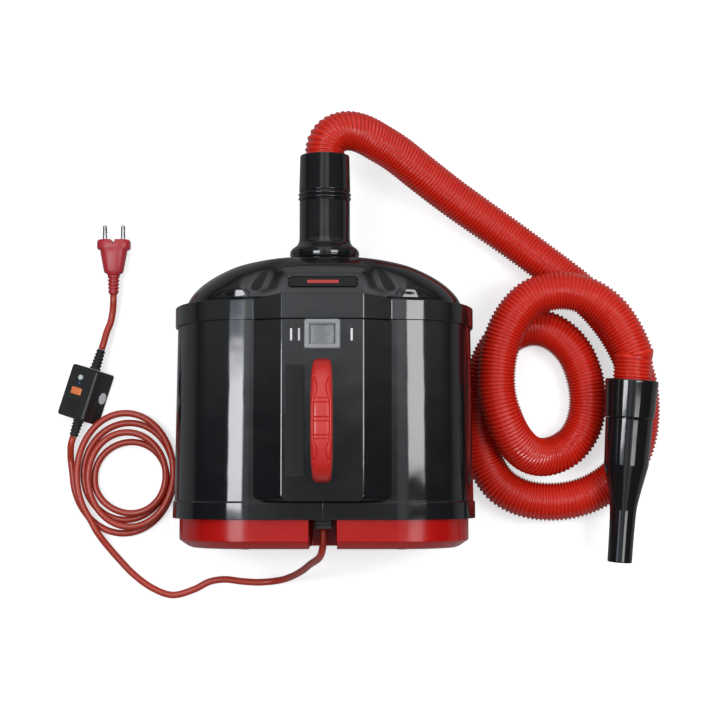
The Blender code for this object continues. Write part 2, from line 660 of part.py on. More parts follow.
def handle():
    """Arched grip that stands on the panel, held from inside by a screw at each foot."""
    reach = HANDLE_LENGTH / 2 - HANDLE_THICKNESS / 2
    rise = HANDLE_RISE - HANDLE_THICKNESS / 2
    middle = BODY_Y + HANDLE_MIDDLE
    base = PANEL_TOP + CLEARANCE
    steps = 16
    rings = []
    for step in range(steps + 1):
        angle = math.pi * step / steps
        cosine, sine = math.cos(angle), math.sin(angle)
        y = middle - reach * math.copysign(abs(cosine) ** 0.72, cosine)
        z = base + rise * abs(sine) ** 0.72
        tangent = Vector((reach * abs(sine) ** 1.28 * math.copysign(1, sine),
                          rise * math.copysign(abs(cosine) ** 1.28, cosine)))
        if step in (0, steps):
            tangent = Vector((0.0, 1.0 if step == 0 else -1.0))
        tangent.normalize()
        outward = Vector((-tangent.y, tangent.x))
        width = HANDLE_END_WIDTH + (HANDLE_WIDTH - HANDLE_END_WIDTH) * sine
        rings.append(handle_ring(y, z, outward, width / 2, HANDLE_THICKNESS / 2))
    grip = loft("handle", rings, HANDLE_RED)
    for name, place_y in handle_ends():
        pilot = rod(name + "_pilot", SCREW_RADIUS + CLEARANCE, SCREW_DEPTH + 2 * CLEARANCE,
                    (0, place_y, base - CLEARANCE), axis=(0, 0, 1), steps=16)
        cut(grip, pilot)
        handle_screw(name, place_y)


def handle_ring(y, z, outward, half_width, half_thickness):
    """Rounded section of the grip about a point of its arch."""
    points = []
    for step in range(12):
        angle = 2 * math.pi * step / 12
        across = half_width * math.copysign(abs(math.cos(angle)) ** 0.55, math.cos(angle))
        out = half_thickness * math.copysign(abs(math.sin(angle)) ** 0.55, math.sin(angle))
        points.append((across, y + outward.x * out, z + outward.y * out))
    return points


def handle_screw(name, place_y):
    """Screw from under the panel up into the handle's foot."""
    head_top = PANEL_TOP - PANEL_WALL - CLEARANCE
    shank = head_top + PANEL_WALL + 2 * CLEARANCE + SCREW_DEPTH
    profile = [(0, shank), (SCREW_RADIUS, shank), (SCREW_RADIUS, head_top), (SCREW_HEAD_RADIUS, head_top),
               (SCREW_HEAD_RADIUS, head_top - SCREW_HEAD_HEIGHT), (0, head_top - SCREW_HEAD_HEIGHT)]
    turned("handle_screw_" + name, profile, STEEL, (0, place_y, 0), (0, 0, 1), 16)


# Switch --------------------------------------------------------------------------------------

def switch():
    """Rocker switch in its housing, under a clear boot."""
    middle = (0.0, BODY_Y + SWITCH_MIDDLE)
    base = PANEL_TOP + CLEARANCE
    housing = block("switch_housing", (SWITCH_BODY_WIDTH, SWITCH_BODY_LENGTH, SWITCH_BODY_DEPTH),
                    (*middle, base - SWITCH_BODY_DEPTH / 2 + SWITCH_FLANGE_THICKNESS / 2), SATIN_BLACK)
    flange = block("switch_flange", (SWITCH_FLANGE_WIDTH, SWITCH_FLANGE_LENGTH, SWITCH_FLANGE_THICKNESS),
                   (*middle, base + SWITCH_FLANGE_THICKNESS / 2))
    cut(housing, flange, "UNION")
    recess_top = base + SWITCH_FLANGE_THICKNESS + 0.001
    recess_floor = base - SWITCH_BODY_DEPTH + SWITCH_WALL + SWITCH_FLANGE_THICKNESS / 2
    recess = block("switch_recess", (SWITCH_BODY_WIDTH - 2 * SWITCH_WALL, ROCKER_LENGTH + 2 * SLIDE_CLEARANCE,
                                     recess_top - recess_floor), (*middle, (recess_top + recess_floor) / 2))
    cut(housing, recess)
    rocker()
    boot_outer = [(BOOT_WIDTH / 2, BOOT_LENGTH / 2, 0.0),
                  (BOOT_WIDTH / 2 - BOOT_DRAFT, BOOT_LENGTH / 2 - BOOT_DRAFT, BOOT_HEIGHT)]
    boot = loft("switch_boot", [rectangle(middle, x, y, base + up) for x, y, up in boot_outer], CLEAR)
    boot_inner = [(BOOT_WIDTH / 2 - BOOT_WALL, BOOT_LENGTH / 2 - BOOT_WALL, -0.001),
                  (BOOT_WIDTH / 2 - BOOT_WALL - BOOT_DRAFT, BOOT_LENGTH / 2 - BOOT_WALL - BOOT_DRAFT,
                   BOOT_HEIGHT - BOOT_WALL)]
    hollow = loft("boot_hollow", [rectangle(middle, x, y, base + up) for x, y, up in boot_inner])
    cut(boot, hollow)


def rectangle(middle, half_x, half_y, height):
    """Four corners of a level rectangle."""
    x, y = middle
    return [(x - half_x, y - half_y, height), (x + half_x, y - half_y, height),
            (x + half_x, y + half_y, height), (x - half_x, y + half_y, height)]


def rocker():
    """Rocker with raised ends, which tips left and right about an axis along Y."""
    half = ROCKER_WIDTH / 2
    outline = [(-half, ROCKER_TIP_HEIGHT), (-half, -0.0005), (-half * 0.45, -ROCKER_KEEL * 0.6),
               (0.0, -ROCKER_KEEL), (half * 0.45, -ROCKER_KEEL * 0.6), (half, -0.0005),
               (half, ROCKER_TIP_HEIGHT), (0.0, ROCKER_MIDDLE_HEIGHT)]
    rings = [[(x, end * ROCKER_LENGTH / 2, z) for x, z in outline] for end in (-1, 1)]
    loft("switch_rocker", rings, SWITCH_GREY,
         location=(0, BODY_Y + SWITCH_MIDDLE, PANEL_TOP + ROCKER_AXIS_HEIGHT))


# Outlet, hose and nozzle ------------------------------------------------------------------------

def outlet():
    """Collar and neck on the dome, the locking ring, and the hose's cuff."""
    tilt = COLLAR_HEIGHT
    collar = [(NECK_RADIUS, NECK_LENGTH), (NECK_RADIUS, tilt), (NECK_RADIUS + 0.0025, tilt * 0.75),
              (COLLAR_RADIUS - 0.002, tilt * 0.45), (COLLAR_RADIUS, tilt * 0.28), (COLLAR_RADIUS, 0),
              (NECK_BORE_RADIUS, 0), (NECK_BORE_RADIUS, NECK_LENGTH)]
    turned("outlet_collar", collar, GLOSS_BLACK, (0, BODY_Y + NECK_START, AXIS_HEIGHT), bored=True)
    ring = [(RING_RADIUS - 0.0008, RING_LENGTH), (RING_RADIUS, RING_LENGTH * 0.75),
            (RING_RADIUS - 0.0012, RING_LENGTH / 2), (RING_RADIUS, RING_LENGTH * 0.25),
            (RING_RADIUS - 0.0008, 0), (NECK_BORE_RADIUS, 0), (NECK_BORE_RADIUS, RING_LENGTH)]
    turned("hose_ring", ring, GLOSS_BLACK, (0, BODY_Y + RING_START, AXIS_HEIGHT), bored=True)
    socket = HOSE_RADIUS + SLIDE_CLEARANCE
    shoulder = CUFF_LENGTH - CUFF_SOCKET_DEPTH
    cuff = [(CUFF_TIP_RADIUS, CUFF_LENGTH), (CUFF_RADIUS, 0), (NECK_BORE_RADIUS, 0),
            (NECK_BORE_RADIUS, shoulder * 0.6), (HOSE_BORE_RADIUS, shoulder), (socket, shoulder),
            (socket, CUFF_LENGTH)]
    turned("hose_cuff", cuff, GLOSS_BLACK, (0, BODY_Y + CUFF_START, AXIS_HEIGHT), bored=True)


def nozzle_place(along):
    """Point on the nozzle's axis, from the face of its cuff."""
    return Vector(NOZZLE_FACE) + Vector(NOZZLE_HEADING).normalized() * along


def nozzle_socket():
    """Depth of the hose's socket in the nozzle's cuff."""
    return NOZZLE_CUFF_LENGTH - NOZZLE_CUFF_SOCKET - NOZZLE_CUFF_WEB


def hose_route(over):
    """The hose's whole route: a straight end in each cuff, a little longer by over."""
    straight = 2 * HOSE_RADIUS
    start = [Vector((0.0, HOSE_START_Y + along, AXIS_HEIGHT)) for along in (-over, straight / 2, straight)]
    depth = nozzle_socket() - CLEARANCE
    end = [nozzle_place(depth - back) for back in (straight + 0.006, straight, straight / 2, -over)]
    return start + [Vector(point) for point in HOSE_ROUTE] + end


def hose():
    """Ribbed hose: two rings of unlike radius to a rib, with its bore cut through."""
    points, length = smooth_route(hose_route(0.0), 0, 2 * HOSE_RIBS + 1)
    valley = HOSE_VALLEY_RADIUS / HOSE_RADIUS
    radii = [valley if number % 2 == 0 else 1.0 for number in range(len(points))]
    skin = meshed(tube("hose", points, HOSE_RADIUS, None, radii), HOSE_RED)
    core = meshed(tube("hose_bore", smooth_route(hose_route(0.002), HOSE_BORE_SPACING)[0], HOSE_BORE_RADIUS))
    cut(skin, core)
    apart = round(3 * HOSE_RADIUS / (length / len(points)))
    print("hose: %.3f m, least gap to itself %.2f mm" % (length, least_gap(points, HOSE_RADIUS, apart) * 1000))


def nozzle():
    """Cuff on the hose's end and the tapered nozzle that pushes into it."""
    heading = nozzle_place(1) - nozzle_place(0)
    hose_socket = nozzle_socket()
    web = hose_socket + NOZZLE_CUFF_WEB
    socket = HOSE_RADIUS + SLIDE_CLEARANCE
    spigot = NOZZLE_THROAT_RADIUS + NOZZLE_SPIGOT_STEP
    far = NOZZLE_CUFF_LENGTH
    cuff = [(NOZZLE_CUFF_TIP_RADIUS, far), (NOZZLE_CUFF_RADIUS, 0.004), (NOZZLE_CUFF_RADIUS - 0.0008, 0),
            (socket, 0), (socket, hose_socket), (HOSE_BORE_RADIUS, hose_socket), (HOSE_BORE_RADIUS, web),
            (spigot + SLIDE_CLEARANCE, web), (spigot + SLIDE_CLEARANCE, far)]
    turned("nozzle_cuff", cuff, GLOSS_BLACK, nozzle_place(0), heading, bored=True)
    length = NOZZLE_LENGTH
    shoulder = length * 0.33
    waist = length * 0.59
    wall = NOZZLE_WALL
    body = [(NOZZLE_TIP_RADIUS, length), (NOZZLE_THROAT_RADIUS, waist + 0.002),
            (NOZZLE_THROAT_RADIUS + 0.0032, waist - 0.014), (NOZZLE_RADIUS - 0.0045, shoulder + 0.012),
            (NOZZLE_RADIUS - 0.0018, shoulder), (NOZZLE_RADIUS, 0.002), (NOZZLE_RADIUS - 0.0006, 0),
            (spigot, 0), (spigot, -NOZZLE_SPIGOT_LENGTH), (spigot - wall, -NOZZLE_SPIGOT_LENGTH),
            (spigot - wall, shoulder), (NOZZLE_THROAT_RADIUS - wall, waist), (NOZZLE_TIP_RADIUS - wall, length)]
    turned("nozzle", body, GLOSS_BLACK, nozzle_place(far + CLEARANCE), heading, bored=True)


# End cap --------------------------------------------------------------------------------------------

def end_cap():
    """Red intake cap: rounded, slotted, and notched for the mains lead."""
    stations = [(CAP_ENGAGEMENT, 0.0), (-CAP_STRAIGHT, 0.0)]
    steps = 5
    for step in range(1, steps + 1):
        angle = math.radians(90 * step / steps)
        stations.append((-CAP_STRAIGHT - (CAP_LENGTH - CAP_STRAIGHT) * math.sin(angle),
                         CAP_ROUND * (1 - math.cos(angle))))
    cap = loft("end_cap", [ring_round(cap_section(inset), along) for along, inset in stations], CAP_RED)
    inner = [(CAP_ENGAGEMENT + 0.001, CAP_WALL)]
    inner += [(along + CAP_WALL, inset + CAP_WALL) for along, inset in stations[1:]]
    hollow = loft("cap_hollow", [ring_round(cap_section(inset), along) for along, inset in inner])
    channel_top = AXIS_HEIGHT + CAP_DEPTH / 2 + 0.01
    channel = channel_block("cap_channel", NOTCH_WIDTH + 2 * CAP_WALL, NOTCH_FLOOR - CAP_WALL, channel_top)
    cut(hollow, channel)
    cut(cap, hollow)
    cut(cap, channel_block("cap_notch", NOTCH_WIDTH, NOTCH_FLOOR, channel_top))
    cut(cap, intake_slots())


def channel_block(name, width, floor, top):
    """Block that runs the cap's whole length where the lead passes."""
    length = CAP_LENGTH + CAP_ENGAGEMENT + 0.01
    middle = BODY_Y + (CAP_ENGAGEMENT - CAP_LENGTH) / 2
    return block(name, (width, length, top - floor), (0, middle, (top + floor) / 2))


def intake_slots():
    """Upright slots through the cap's end wall, the same on both sides."""
    edit = bmesh.new()
    for side in (-1, 1):
        for number in range(SLOTS_A_SIDE):
            corner = bmesh.ops.create_cube(edit, size=1.0)["verts"]
            bmesh.ops.scale(edit, vec=(SLOT_WIDTH, 4 * CAP_WALL, SLOT_LENGTH), verts=corner)
            bmesh.ops.translate(edit, vec=(side * (SLOT_START + number * SLOT_PITCH), BODY_Y - CAP_LENGTH,
                                           AXIS_HEIGHT), verts=corner)
    return place("intake_slots", edit)


def foam_filter():
    """Foam slab inside the cap, notched for the lead's channel."""
    inset = CAP_WALL + SLIDE_CLEARANCE
    stations = (FILTER_START, FILTER_START + FILTER_THICKNESS)
    slab = loft("foam_filter", [ring_round(cap_section(inset), along) for along in stations], FOAM)
    cut(slab, channel_block("filter_notch", NOTCH_WIDTH + 2 * CAP_WALL + 2 * SLIDE_CLEARANCE,
                            NOTCH_FLOOR - CAP_WALL - SLIDE_CLEARANCE, TOP_HEIGHT))


def feet():
    """Four rubber feet under the belly and four studs on the end cap."""
    number = 0
    for along in FOOT_PLACES:
        for side in (-1, 1):
            number += 1
            profile = [(0, FOOT_HEIGHT - CLEARANCE), (FOOT_RADIUS, FOOT_HEIGHT - CLEARANCE),
                       (FOOT_RADIUS * 0.85, 0), (0, 0)]
            base = (side * FOOT_SPREAD, BODY_Y + along, 0)
            turned("belly_foot_%d" % number, profile, RUBBER, base, (0, 0, 1), 16)
    number = 0
    for up in (-1, 1):
        for side in (-1, 1):
            number += 1
            profile = [(0, END_FOOT_HEIGHT), (END_FOOT_RADIUS * 0.8, END_FOOT_HEIGHT),
                       (END_FOOT_RADIUS, END_FOOT_HEIGHT / 2), (END_FOOT_RADIUS, 0), (0, 0)]
            base = (side * END_FOOT_SPREAD_X, BODY_Y - CAP_LENGTH - CLEARANCE,
                    AXIS_HEIGHT + up * END_FOOT_SPREAD_Z)
            turned("end_foot_%d" % number, profile, RUBBER, base, (0, -1, 0), 12)


# Inside ----------------------------------------------------------------------------------------------------

def plate(name, along, thickness, finish):
    """Plate across the body's inside, standing clear of the shells."""
    inset = BODY_WALL + CLEARANCE
    half = body_section(along + thickness, -inset)
    rings = [ring_round(half, along), ring_round(half, along + thickness)]
    return loft(name, rings, finish)


def intake_plate():
    """Plate that carries both motors, with their intakes and a hole for the inner lead."""
    item = plate("intake_plate", PLATE_START, PLATE_THICKNESS, SATIN_BLACK)
    reach = PLATE_THICKNESS + 0.004
    for name, side in (("left", -1), ("right", 1)):
        cut(item, rod(name + "_intake", INTAKE_RADIUS, reach,
                      (side * MOTOR_SPREAD, BODY_Y + PLATE_START - 0.002, AXIS_HEIGHT)))
    cut(item, rod("inner_lead_hole", INNER_LEAD_RADIUS + 0.001, reach,
                  (0, BODY_Y + PLATE_START - 0.002, GLAND_HEIGHT), steps=16))


def motor_bridge():
    """Plate that holds the motors' tails and lets the air past."""
    item = plate("motor_bridge", BRIDGE_START, BRIDGE_THICKNESS, SATIN_BLACK)
    for name, side in (("left", -1), ("right", 1)):
        cut(item, rod(name + "_outlet", BRIDGE_HOLE_RADIUS, BRIDGE_THICKNESS + 0.004,
                      (side * MOTOR_SPREAD, BODY_Y + BRIDGE_START - 0.002, AXIS_HEIGHT)))


def motor(name, side):
    """Turbine motor: housing, rotor on its shaft, fan, and the gasket it stands on."""
    x = side * MOTOR_SPREAD
    gasket_start = PLATE_START + PLATE_THICKNESS + CLEARANCE
    gasket = [(GASKET_OUTER, GASKET_THICKNESS), (GASKET_OUTER, 0), (GASKET_INNER, 0),
              (GASKET_INNER, GASKET_THICKNESS)]
    seat = (x, BODY_Y + gasket_start, AXIS_HEIGHT)
    turned("motor_gasket_" + name, gasket, RUBBER, seat, steps=16, bored=True)
    start = gasket_start + GASKET_THICKNESS + CLEARANCE
    drum, top = DRUM_LENGTH, DRUM_LENGTH + CAN_LENGTH
    wall, bore = MOTOR_WALL, SHAFT_RADIUS + SLIDE_CLEARANCE
    housing = [(CAN_RADIUS, top), (CAN_RADIUS, drum), (DRUM_RADIUS, drum), (DRUM_RADIUS, 0),
               (INTAKE_RADIUS * 0.7, 0), (INTAKE_RADIUS * 0.7, wall), (DRUM_RADIUS - wall, wall),
               (DRUM_RADIUS - wall, drum - wall), (bore, drum - wall), (bore, drum + wall / 2),
               (CAN_RADIUS - wall, drum + wall / 2), (CAN_RADIUS - wall, top - wall), (bore, top - wall),
               (bore, top)]
    turned("motor_housing_" + name, housing, ALUMINIUM, (x, BODY_Y + start, AXIS_HEIGHT), steps=16, bored=True)
    core = drum + 0.012
    rotor = [(0, top - 0.001), (SHAFT_RADIUS, top - 0.001), (SHAFT_RADIUS, core + ARMATURE_LENGTH + 0.012),
             (COMMUTATOR_RADIUS, core + ARMATURE_LENGTH + 0.012), (COMMUTATOR_RADIUS, core + ARMATURE_LENGTH),
             (ARMATURE_RADIUS, core + ARMATURE_LENGTH), (ARMATURE_RADIUS, core), (SHAFT_RADIUS, core),
             (SHAFT_RADIUS, wall + 0.004), (0, wall + 0.004)]
    turned("rotor_" + name, rotor, STEEL, (x, BODY_Y + start, AXIS_HEIGHT), steps=12)
    fan(name, x, BODY_Y + start + drum - wall - 0.006 - FAN_DISC)


def fan(name, x, y):
    """Fan: a disc on the shaft with leaning blades on its intake side."""
    hub = SHAFT_RADIUS + CLEARANCE
    disc = [(FAN_RADIUS, FAN_DISC), (FAN_RADIUS, 0), (0.012, 0), (0.010, -BLADE_HEIGHT), (hub, -BLADE_HEIGHT),
            (hub, FAN_DISC)]
    item = turned("fan_" + name, disc, FAN_PLASTIC, (x, y, AXIS_HEIGHT), steps=20, bored=True)
    edit = bmesh.new()
    length = FAN_RADIUS - 0.020
    for number in range(FAN_BLADES):
        corner = bmesh.ops.create_cube(edit, size=1.0)["verts"]
        bmesh.ops.scale(edit, vec=(length, BLADE_HEIGHT, BLADE_THICKNESS), verts=corner)
        bmesh.ops.rotate(edit, verts=corner, cent=(0, 0, 0), matrix=Matrix.Rotation(math.radians(35), 3, "Y"))
        bmesh.ops.translate(edit, verts=corner, vec=(0.033, 0.001 - BLADE_HEIGHT / 2, 0))
        spoke = Matrix.Rotation(2 * math.pi * number / FAN_BLADES, 3, "Y")
        bmesh.ops.rotate(edit, verts=corner, cent=(0, 0, 0), matrix=spoke)
    blades = place("blades_" + name, edit, None, (x, y, AXIS_HEIGHT))
    cut(item, blades, "UNION")


# Mains entry and inner wiring ---------------------------------------------------------------------------------

def mains_entry():
    """Gland and its bracket, the terminal block, and the leads from it."""
    inner_end = PLATE_START - CLEARANCE
    gland_length = GLAND_REACH + 0.016
    gland = block("cord_gland", (GLAND_SIZE, gland_length, GLAND_SIZE),
                  (0, BODY_Y - GLAND_REACH + gland_length / 2, GLAND_HEIGHT), SATIN_BLACK)
    bevel(gland, 0.0015)
    outer = GLAND_SIZE + 2 * BRACKET_WALL
    bracket = block("gland_bracket", (outer, inner_end - 0.002, outer),
                    (0, BODY_Y + (inner_end + 0.002) / 2, GLAND_HEIGHT), SATIN_BLACK)
    seat = block("gland_seat", (GLAND_SIZE + 2 * CLEARANCE, inner_end + 0.01, GLAND_SIZE + 2 * CLEARANCE),
                 (0, BODY_Y + inner_end / 2, GLAND_HEIGHT))
    cut(bracket, seat)
    lead_start = BODY_Y + gland_length - GLAND_REACH + CLEARANCE
    block_start = BODY_Y + PLATE_START + PLATE_THICKNESS + CLEARANCE
    ends = [Vector((0, y, GLAND_HEIGHT)) for y in (lead_start, block_start - CLEARANCE)]
    tube("inner_lead", ends, INNER_LEAD_RADIUS, CORD_RED)
    width, length, height = TERMINAL_SIZE
    block("terminal_block", TERMINAL_SIZE, (0, block_start + length / 2, GLAND_HEIGHT), FAN_PLASTIC)
    top = GLAND_HEIGHT + height / 2 + CLEARANCE
    x, y = SWITCH_LEAD_X, BODY_Y + SWITCH_LEAD_Y
    under = PANEL_TOP - PANEL_WALL - 0.0045
    switch_y = BODY_Y + SWITCH_MIDDLE - SWITCH_BODY_LENGTH / 2 - CLEARANCE
    above = TOP_HEIGHT + 0.001
    route = [(x, y, top), (x, y, (top + above) / 2), (x, y, above), (x, y + 0.0035, under - 0.002),
             (x, y + 0.013, under), (x, y + 0.040, under), (x, y + 0.080, under),
             (x, switch_y - 0.01, under), (x, switch_y, under)]
    tube("switch_lead", smooth_route(route, 0.008)[0], SWITCH_LEAD_RADIUS, SATIN_BLACK)
    return rod("switch_lead_hole", SWITCH_LEAD_RADIUS + SWITCH_LEAD_ROOM, 4 * BODY_WALL,
               (x, y, TOP_HEIGHT - 2 * BODY_WALL), axis=(0, 0, 1), steps=16)


# Mains lead outside ------------------------------------------------------------------

def coil_points():
    """Centre line of the coil: in along the floor for two turns, and out again on top."""
    def ease(value):
        value = min(max(value, 0.0), 1.0)
        return value * value * (3 - 2 * value)

    points = []
    count = round(COIL_TURNS * COIL_POINTS_A_TURN)
    for number in range(count + 1):
        turn = number / COIL_POINTS_A_TURN
        inward = 0.4 * min(turn, 4.0 - turn)
        shift = 0.0029 * ease((turn - 2.0) / 0.5)
        middle_x = -0.2106 + 0.00495 * inward + shift
        middle_y = -0.0978 - 0.0075 * inward
        radius_x = 0.0551 - 0.0245 * inward - shift
        radius_y = 0.0668 - 0.0425 * inward
        angle = math.pi + 2 * math.pi * turn
        height = CORD_RADIUS + CLEARANCE + COIL_LAYER_STEP * ease((turn - 1.9) / 0.45)
        x, y = middle_x + radius_x * math.cos(angle), middle_y + radius_y * math.sin(angle)
        points.append(Vector((x, y, height)))
    straight = 2 * CORD_RADIUS
    points.insert(0, points[0] + (points[0] - points[1]).normalized() * straight)
    points.append(points[-1] + (points[-1] - points[-2]).normalized() * straight)
    return points


def box_place(across, along, up):
    """World point from the fault-current box's own across, along and up."""
    heading = math.radians(BOX_HEADING)
    x = BOX_PLACE[0] + across * math.cos(heading) + along * math.sin(heading)
    y = BOX_PLACE[1] - across * math.sin(heading) + along * math.cos(heading)
    return Vector((x, y, up))


def box_heading(sign=1):
    """Direction of the box's long axis."""
    return (box_place(0, sign, 0) - box_place(0, 0, 0)).normalized()


def front_normal():
    """Across and up of the front face's outward normal, and of its own width."""
    run, rise = BOX_RIDGE[0] - BOX_FRONT_LEFT[0], BOX_RIDGE[1] - BOX_FRONT_LEFT[1]
    size = math.hypot(run, rise)
    return (-rise / size, run / size), (run / size, rise / size), size


def fault_box():
    """Five-sided box with a sloping front, split behind its front plate, with two buttons."""
    normal, _, _ = front_normal()
    depth = BOX_FRONT_THICKNESS
    left, ridge = Vector(BOX_FRONT_LEFT), Vector(BOX_RIDGE)
    inward = -Vector(normal) * depth
    gap = -Vector(normal) * CLEARANCE
    front = [left, ridge, ridge + inward, left + inward * 0.55 + Vector((0.0045, 0))]
    half = BOX_LENGTH / 2
    case_front = loft("rcd_case_front", [[box_place(x, along, z) for x, z in front] for along in (-half, half)],
                      SATIN_BLACK)
    back = [front[3] + gap, front[2] + gap, Vector(BOX_BACK_EDGE), Vector((BOX_BASE_RIGHT, 0)),
            Vector((BOX_BASE_LEFT, 0))]
    ends = (BOX_BACK_SHORTENED - half, half)
    loft("rcd_case_back", [[box_place(x, along, z) for x, z in back] for along in ends], SATIN_BLACK)
    buttons(case_front)
    for name, sign, length in (("upper", 1, UPPER_RELIEF_LENGTH), ("lower", -1, LOWER_RELIEF_LENGTH)):
        base = box_place(BOX_AXIS[0], sign * (half + CLEARANCE), BOX_AXIS[1])
        ribbed_relief("rcd_relief_" + name, base, box_heading(sign), length, RELIEF_RADIUS, RELIEF_TIP_RADIUS,
                      SATIN_BLACK)


def ribbed_relief(name, base, heading, length, radius, tip_radius, finish):
    """Tapered strain relief with ribs."""
    pitch = length / (RELIEF_RIBS + 1)
    profile = [(0, length), (tip_radius, length)]
    for rib in range(RELIEF_RIBS, 0, -1):
        high = pitch * (rib + 0.7)
        here = radius + (tip_radius - radius) * high / length
        profile += [(here, high), (here, high - 0.5 * pitch), (here - RELIEF_GROOVE, high - 0.75 * pitch)]
    profile += [(radius, 0), (0, 0)]
    return turned(name, profile, finish, base, heading, 12)


def button_frame(along):
    """Point on the front face and the turn that lays a button square to it."""
    normal, width_way, size = front_normal()
    middle = (Vector(BOX_FRONT_LEFT) + Vector(BOX_RIDGE)) / 2 + Vector(width_way) * BUTTON_ACROSS
    origin = box_place(middle.x, along, middle.y)
    across = box_place(width_way[0], 0, width_way[1]) - box_place(0, 0, 0)
    out = box_place(normal[0], 0, normal[1]) - box_place(0, 0, 0)
    return origin, Matrix((across, box_heading(), out)).transposed().to_quaternion(), out


def buttons(case_front):
    """Round test button and oblong reset button, each in its own blind pocket."""
    deep = BUTTON_STEM + BUTTON_TRAVEL + CLEARANCE
    height = BUTTON_PROUD + BUTTON_STEM
    origin, turn, out = button_frame(TEST_BUTTON_PLACE)
    hole = TEST_BUTTON_RADIUS + CLEARANCE
    cut(case_front, rod("test_pocket", hole, deep + 0.002, origin - out * deep, axis=out, steps=20))
    profile = [(0, height), (TEST_BUTTON_RADIUS - 0.0004, height), (TEST_BUTTON_RADIUS, height - 0.0004),
               (TEST_BUTTON_RADIUS, 0), (0, 0)]
    turned("rcd_test_button", profile, PALE_GREEN, origin - out * BUTTON_STEM, out, 20)
    origin, turn, out = button_frame(RESET_BUTTON_PLACE)
    pocket = (RESET_BUTTON_WIDTH + 2 * CLEARANCE, RESET_BUTTON_LENGTH + 2 * CLEARANCE, deep + 0.002)
    cut(case_front, block("reset_pocket", pocket, origin + out * (0.002 - deep) / 2, turn=turn))
    reset = block("rcd_reset_button", (RESET_BUTTON_WIDTH, RESET_BUTTON_LENGTH, height),
                  origin + out * (BUTTON_PROUD - BUTTON_STEM) / 2, ORANGE, turn)
    bevel(reset, 0.0004, 1)


def cord_stretch(name, start, out, middle, end, back, spacing):
    """Free stretch of the lead, straight for one diameter at each end; gives its length."""
    straight = 2 * CORD_RADIUS
    points, length = smooth_route([start + out * straight, *middle, end + back * straight], spacing)
    tube(name, [start, *points, end], CORD_RADIUS, CORD_RED)
    return length + 2 * straight


def mains_lead():
    """Free stretches of the lead and its coil, between gland, box and plug."""
    loops = coil_points()
    tube("cord_coil", loops, CORD_RADIUS, CORD_RED, resolution=1)
    into, back = (loops[-1] - loops[-2]).normalized(), (loops[0] - loops[1]).normalized()
    gland = Vector((0, BODY_Y - GLAND_REACH - CLEARANCE, GLAND_HEIGHT))
    lead = cord_stretch("cord_lead", gland, Vector((0, -1, 0)), LEAD_ROUTE,
                        loops[-1] + into * CLEARANCE, into, CORD_SPACING)
    half = BOX_LENGTH / 2 + 2 * CLEARANCE
    below = box_place(BOX_AXIS[0], -half - LOWER_RELIEF_LENGTH, BOX_AXIS[1])
    tail = cord_stretch("cord_tail", below, box_heading(-1), TAIL_ROUTE,
                        loops[0] + back * CLEARANCE, back, SHORT_SPACING)
    above = box_place(BOX_AXIS[0], half + UPPER_RELIEF_LENGTH, BOX_AXIS[1])
    plug_end = Vector((PLUG_X, PLUG_FACE - PLUG_LENGTH - PLUG_RELIEF_LENGTH - 2 * CLEARANCE, PLUG_HEIGHT))
    upper = cord_stretch("cord_upper", above, box_heading(), UPPER_ROUTE,
                         plug_end, Vector((0, -1, 0)), SHORT_SPACING)
    coil = sum((after - before).length for before, after in zip(loops, loops[1:]))
    gap = least_gap(loops, CORD_RADIUS, COIL_POINTS_A_TURN // 2)
    print("lead %.3f m, coil %.3f m, tail %.3f m, upper %.3f m, coil's least gap to itself %.2f mm"
          % (lead, coil, tail, upper, gap * 1000))


def plug():
    """Round-pinned mains plug with a notched collar."""
    stations = [(0.0, 0.88), (-0.0025, 1.0), (-0.0085, 1.0)]
    rings = []
    for along, grow in stations:
        rings.append(plug_ring(along, PLUG_COLLAR[0] / 2 * grow, PLUG_COLLAR[1] / 2 * grow))
    for along, size in ((-0.0112, PLUG_WAIST), (-PLUG_LENGTH + 0.003, PLUG_NECK)):
        rings.append(plug_ring(along, size[0] / 2, size[1] / 2))
    rings.append(plug_ring(-PLUG_LENGTH, PLUG_RELIEF_RADIUS, PLUG_RELIEF_RADIUS))
    body = loft("plug_body", rings, PLUG_RED)
    notch = 0.0045
    wedge = [(-notch, 0.001), (0.0, -notch), (notch, 0.001)]
    cutter = loft("plug_notch", [[(PLUG_X + x * 0.6, PLUG_FACE + y, PLUG_HEIGHT + up) for x, y in wedge]
                                 for up in (-0.02, 0.02)])
    cut(body, cutter)
    for name, side in (("left", -1), ("right", 1)):
        x = PLUG_X + side * PIN_PITCH / 2
        profile = [(0, PIN_LENGTH), (PIN_RADIUS * 0.6, PIN_LENGTH), (PIN_RADIUS, PIN_LENGTH - 0.0015),
                   (PIN_RADIUS, 0), (0, 0)]
        turned("plug_pin_" + name, profile, STEEL, (x, PLUG_FACE + CLEARANCE, PLUG_HEIGHT), steps=16)
    base = (PLUG_X, PLUG_FACE - PLUG_LENGTH - CLEARANCE, PLUG_HEIGHT)
    ribbed_relief("plug_relief", base, (0, -1, 0), PLUG_RELIEF_LENGTH, PLUG_RELIEF_RADIUS,
                  PLUG_RELIEF_TIP_RADIUS, PLUG_RED)


def plug_ring(along, half_width, half_height):
    """Rounded section of the plug at a place along Y."""
    points = []
    for step in range(16):
        angle = 2 * math.pi * (step + 0.5) / 16
        x = half_width * math.copysign(abs(math.cos(angle)) ** 0.7, math.cos(angle))
        z = half_height * math.copysign(abs(math.sin(angle)) ** 0.7, math.sin(angle))
        points.append((PLUG_X + x, PLUG_FACE + along, PLUG_HEIGHT + z))
    return points


# The dryer, from the body outwards ---------------------------------------------------

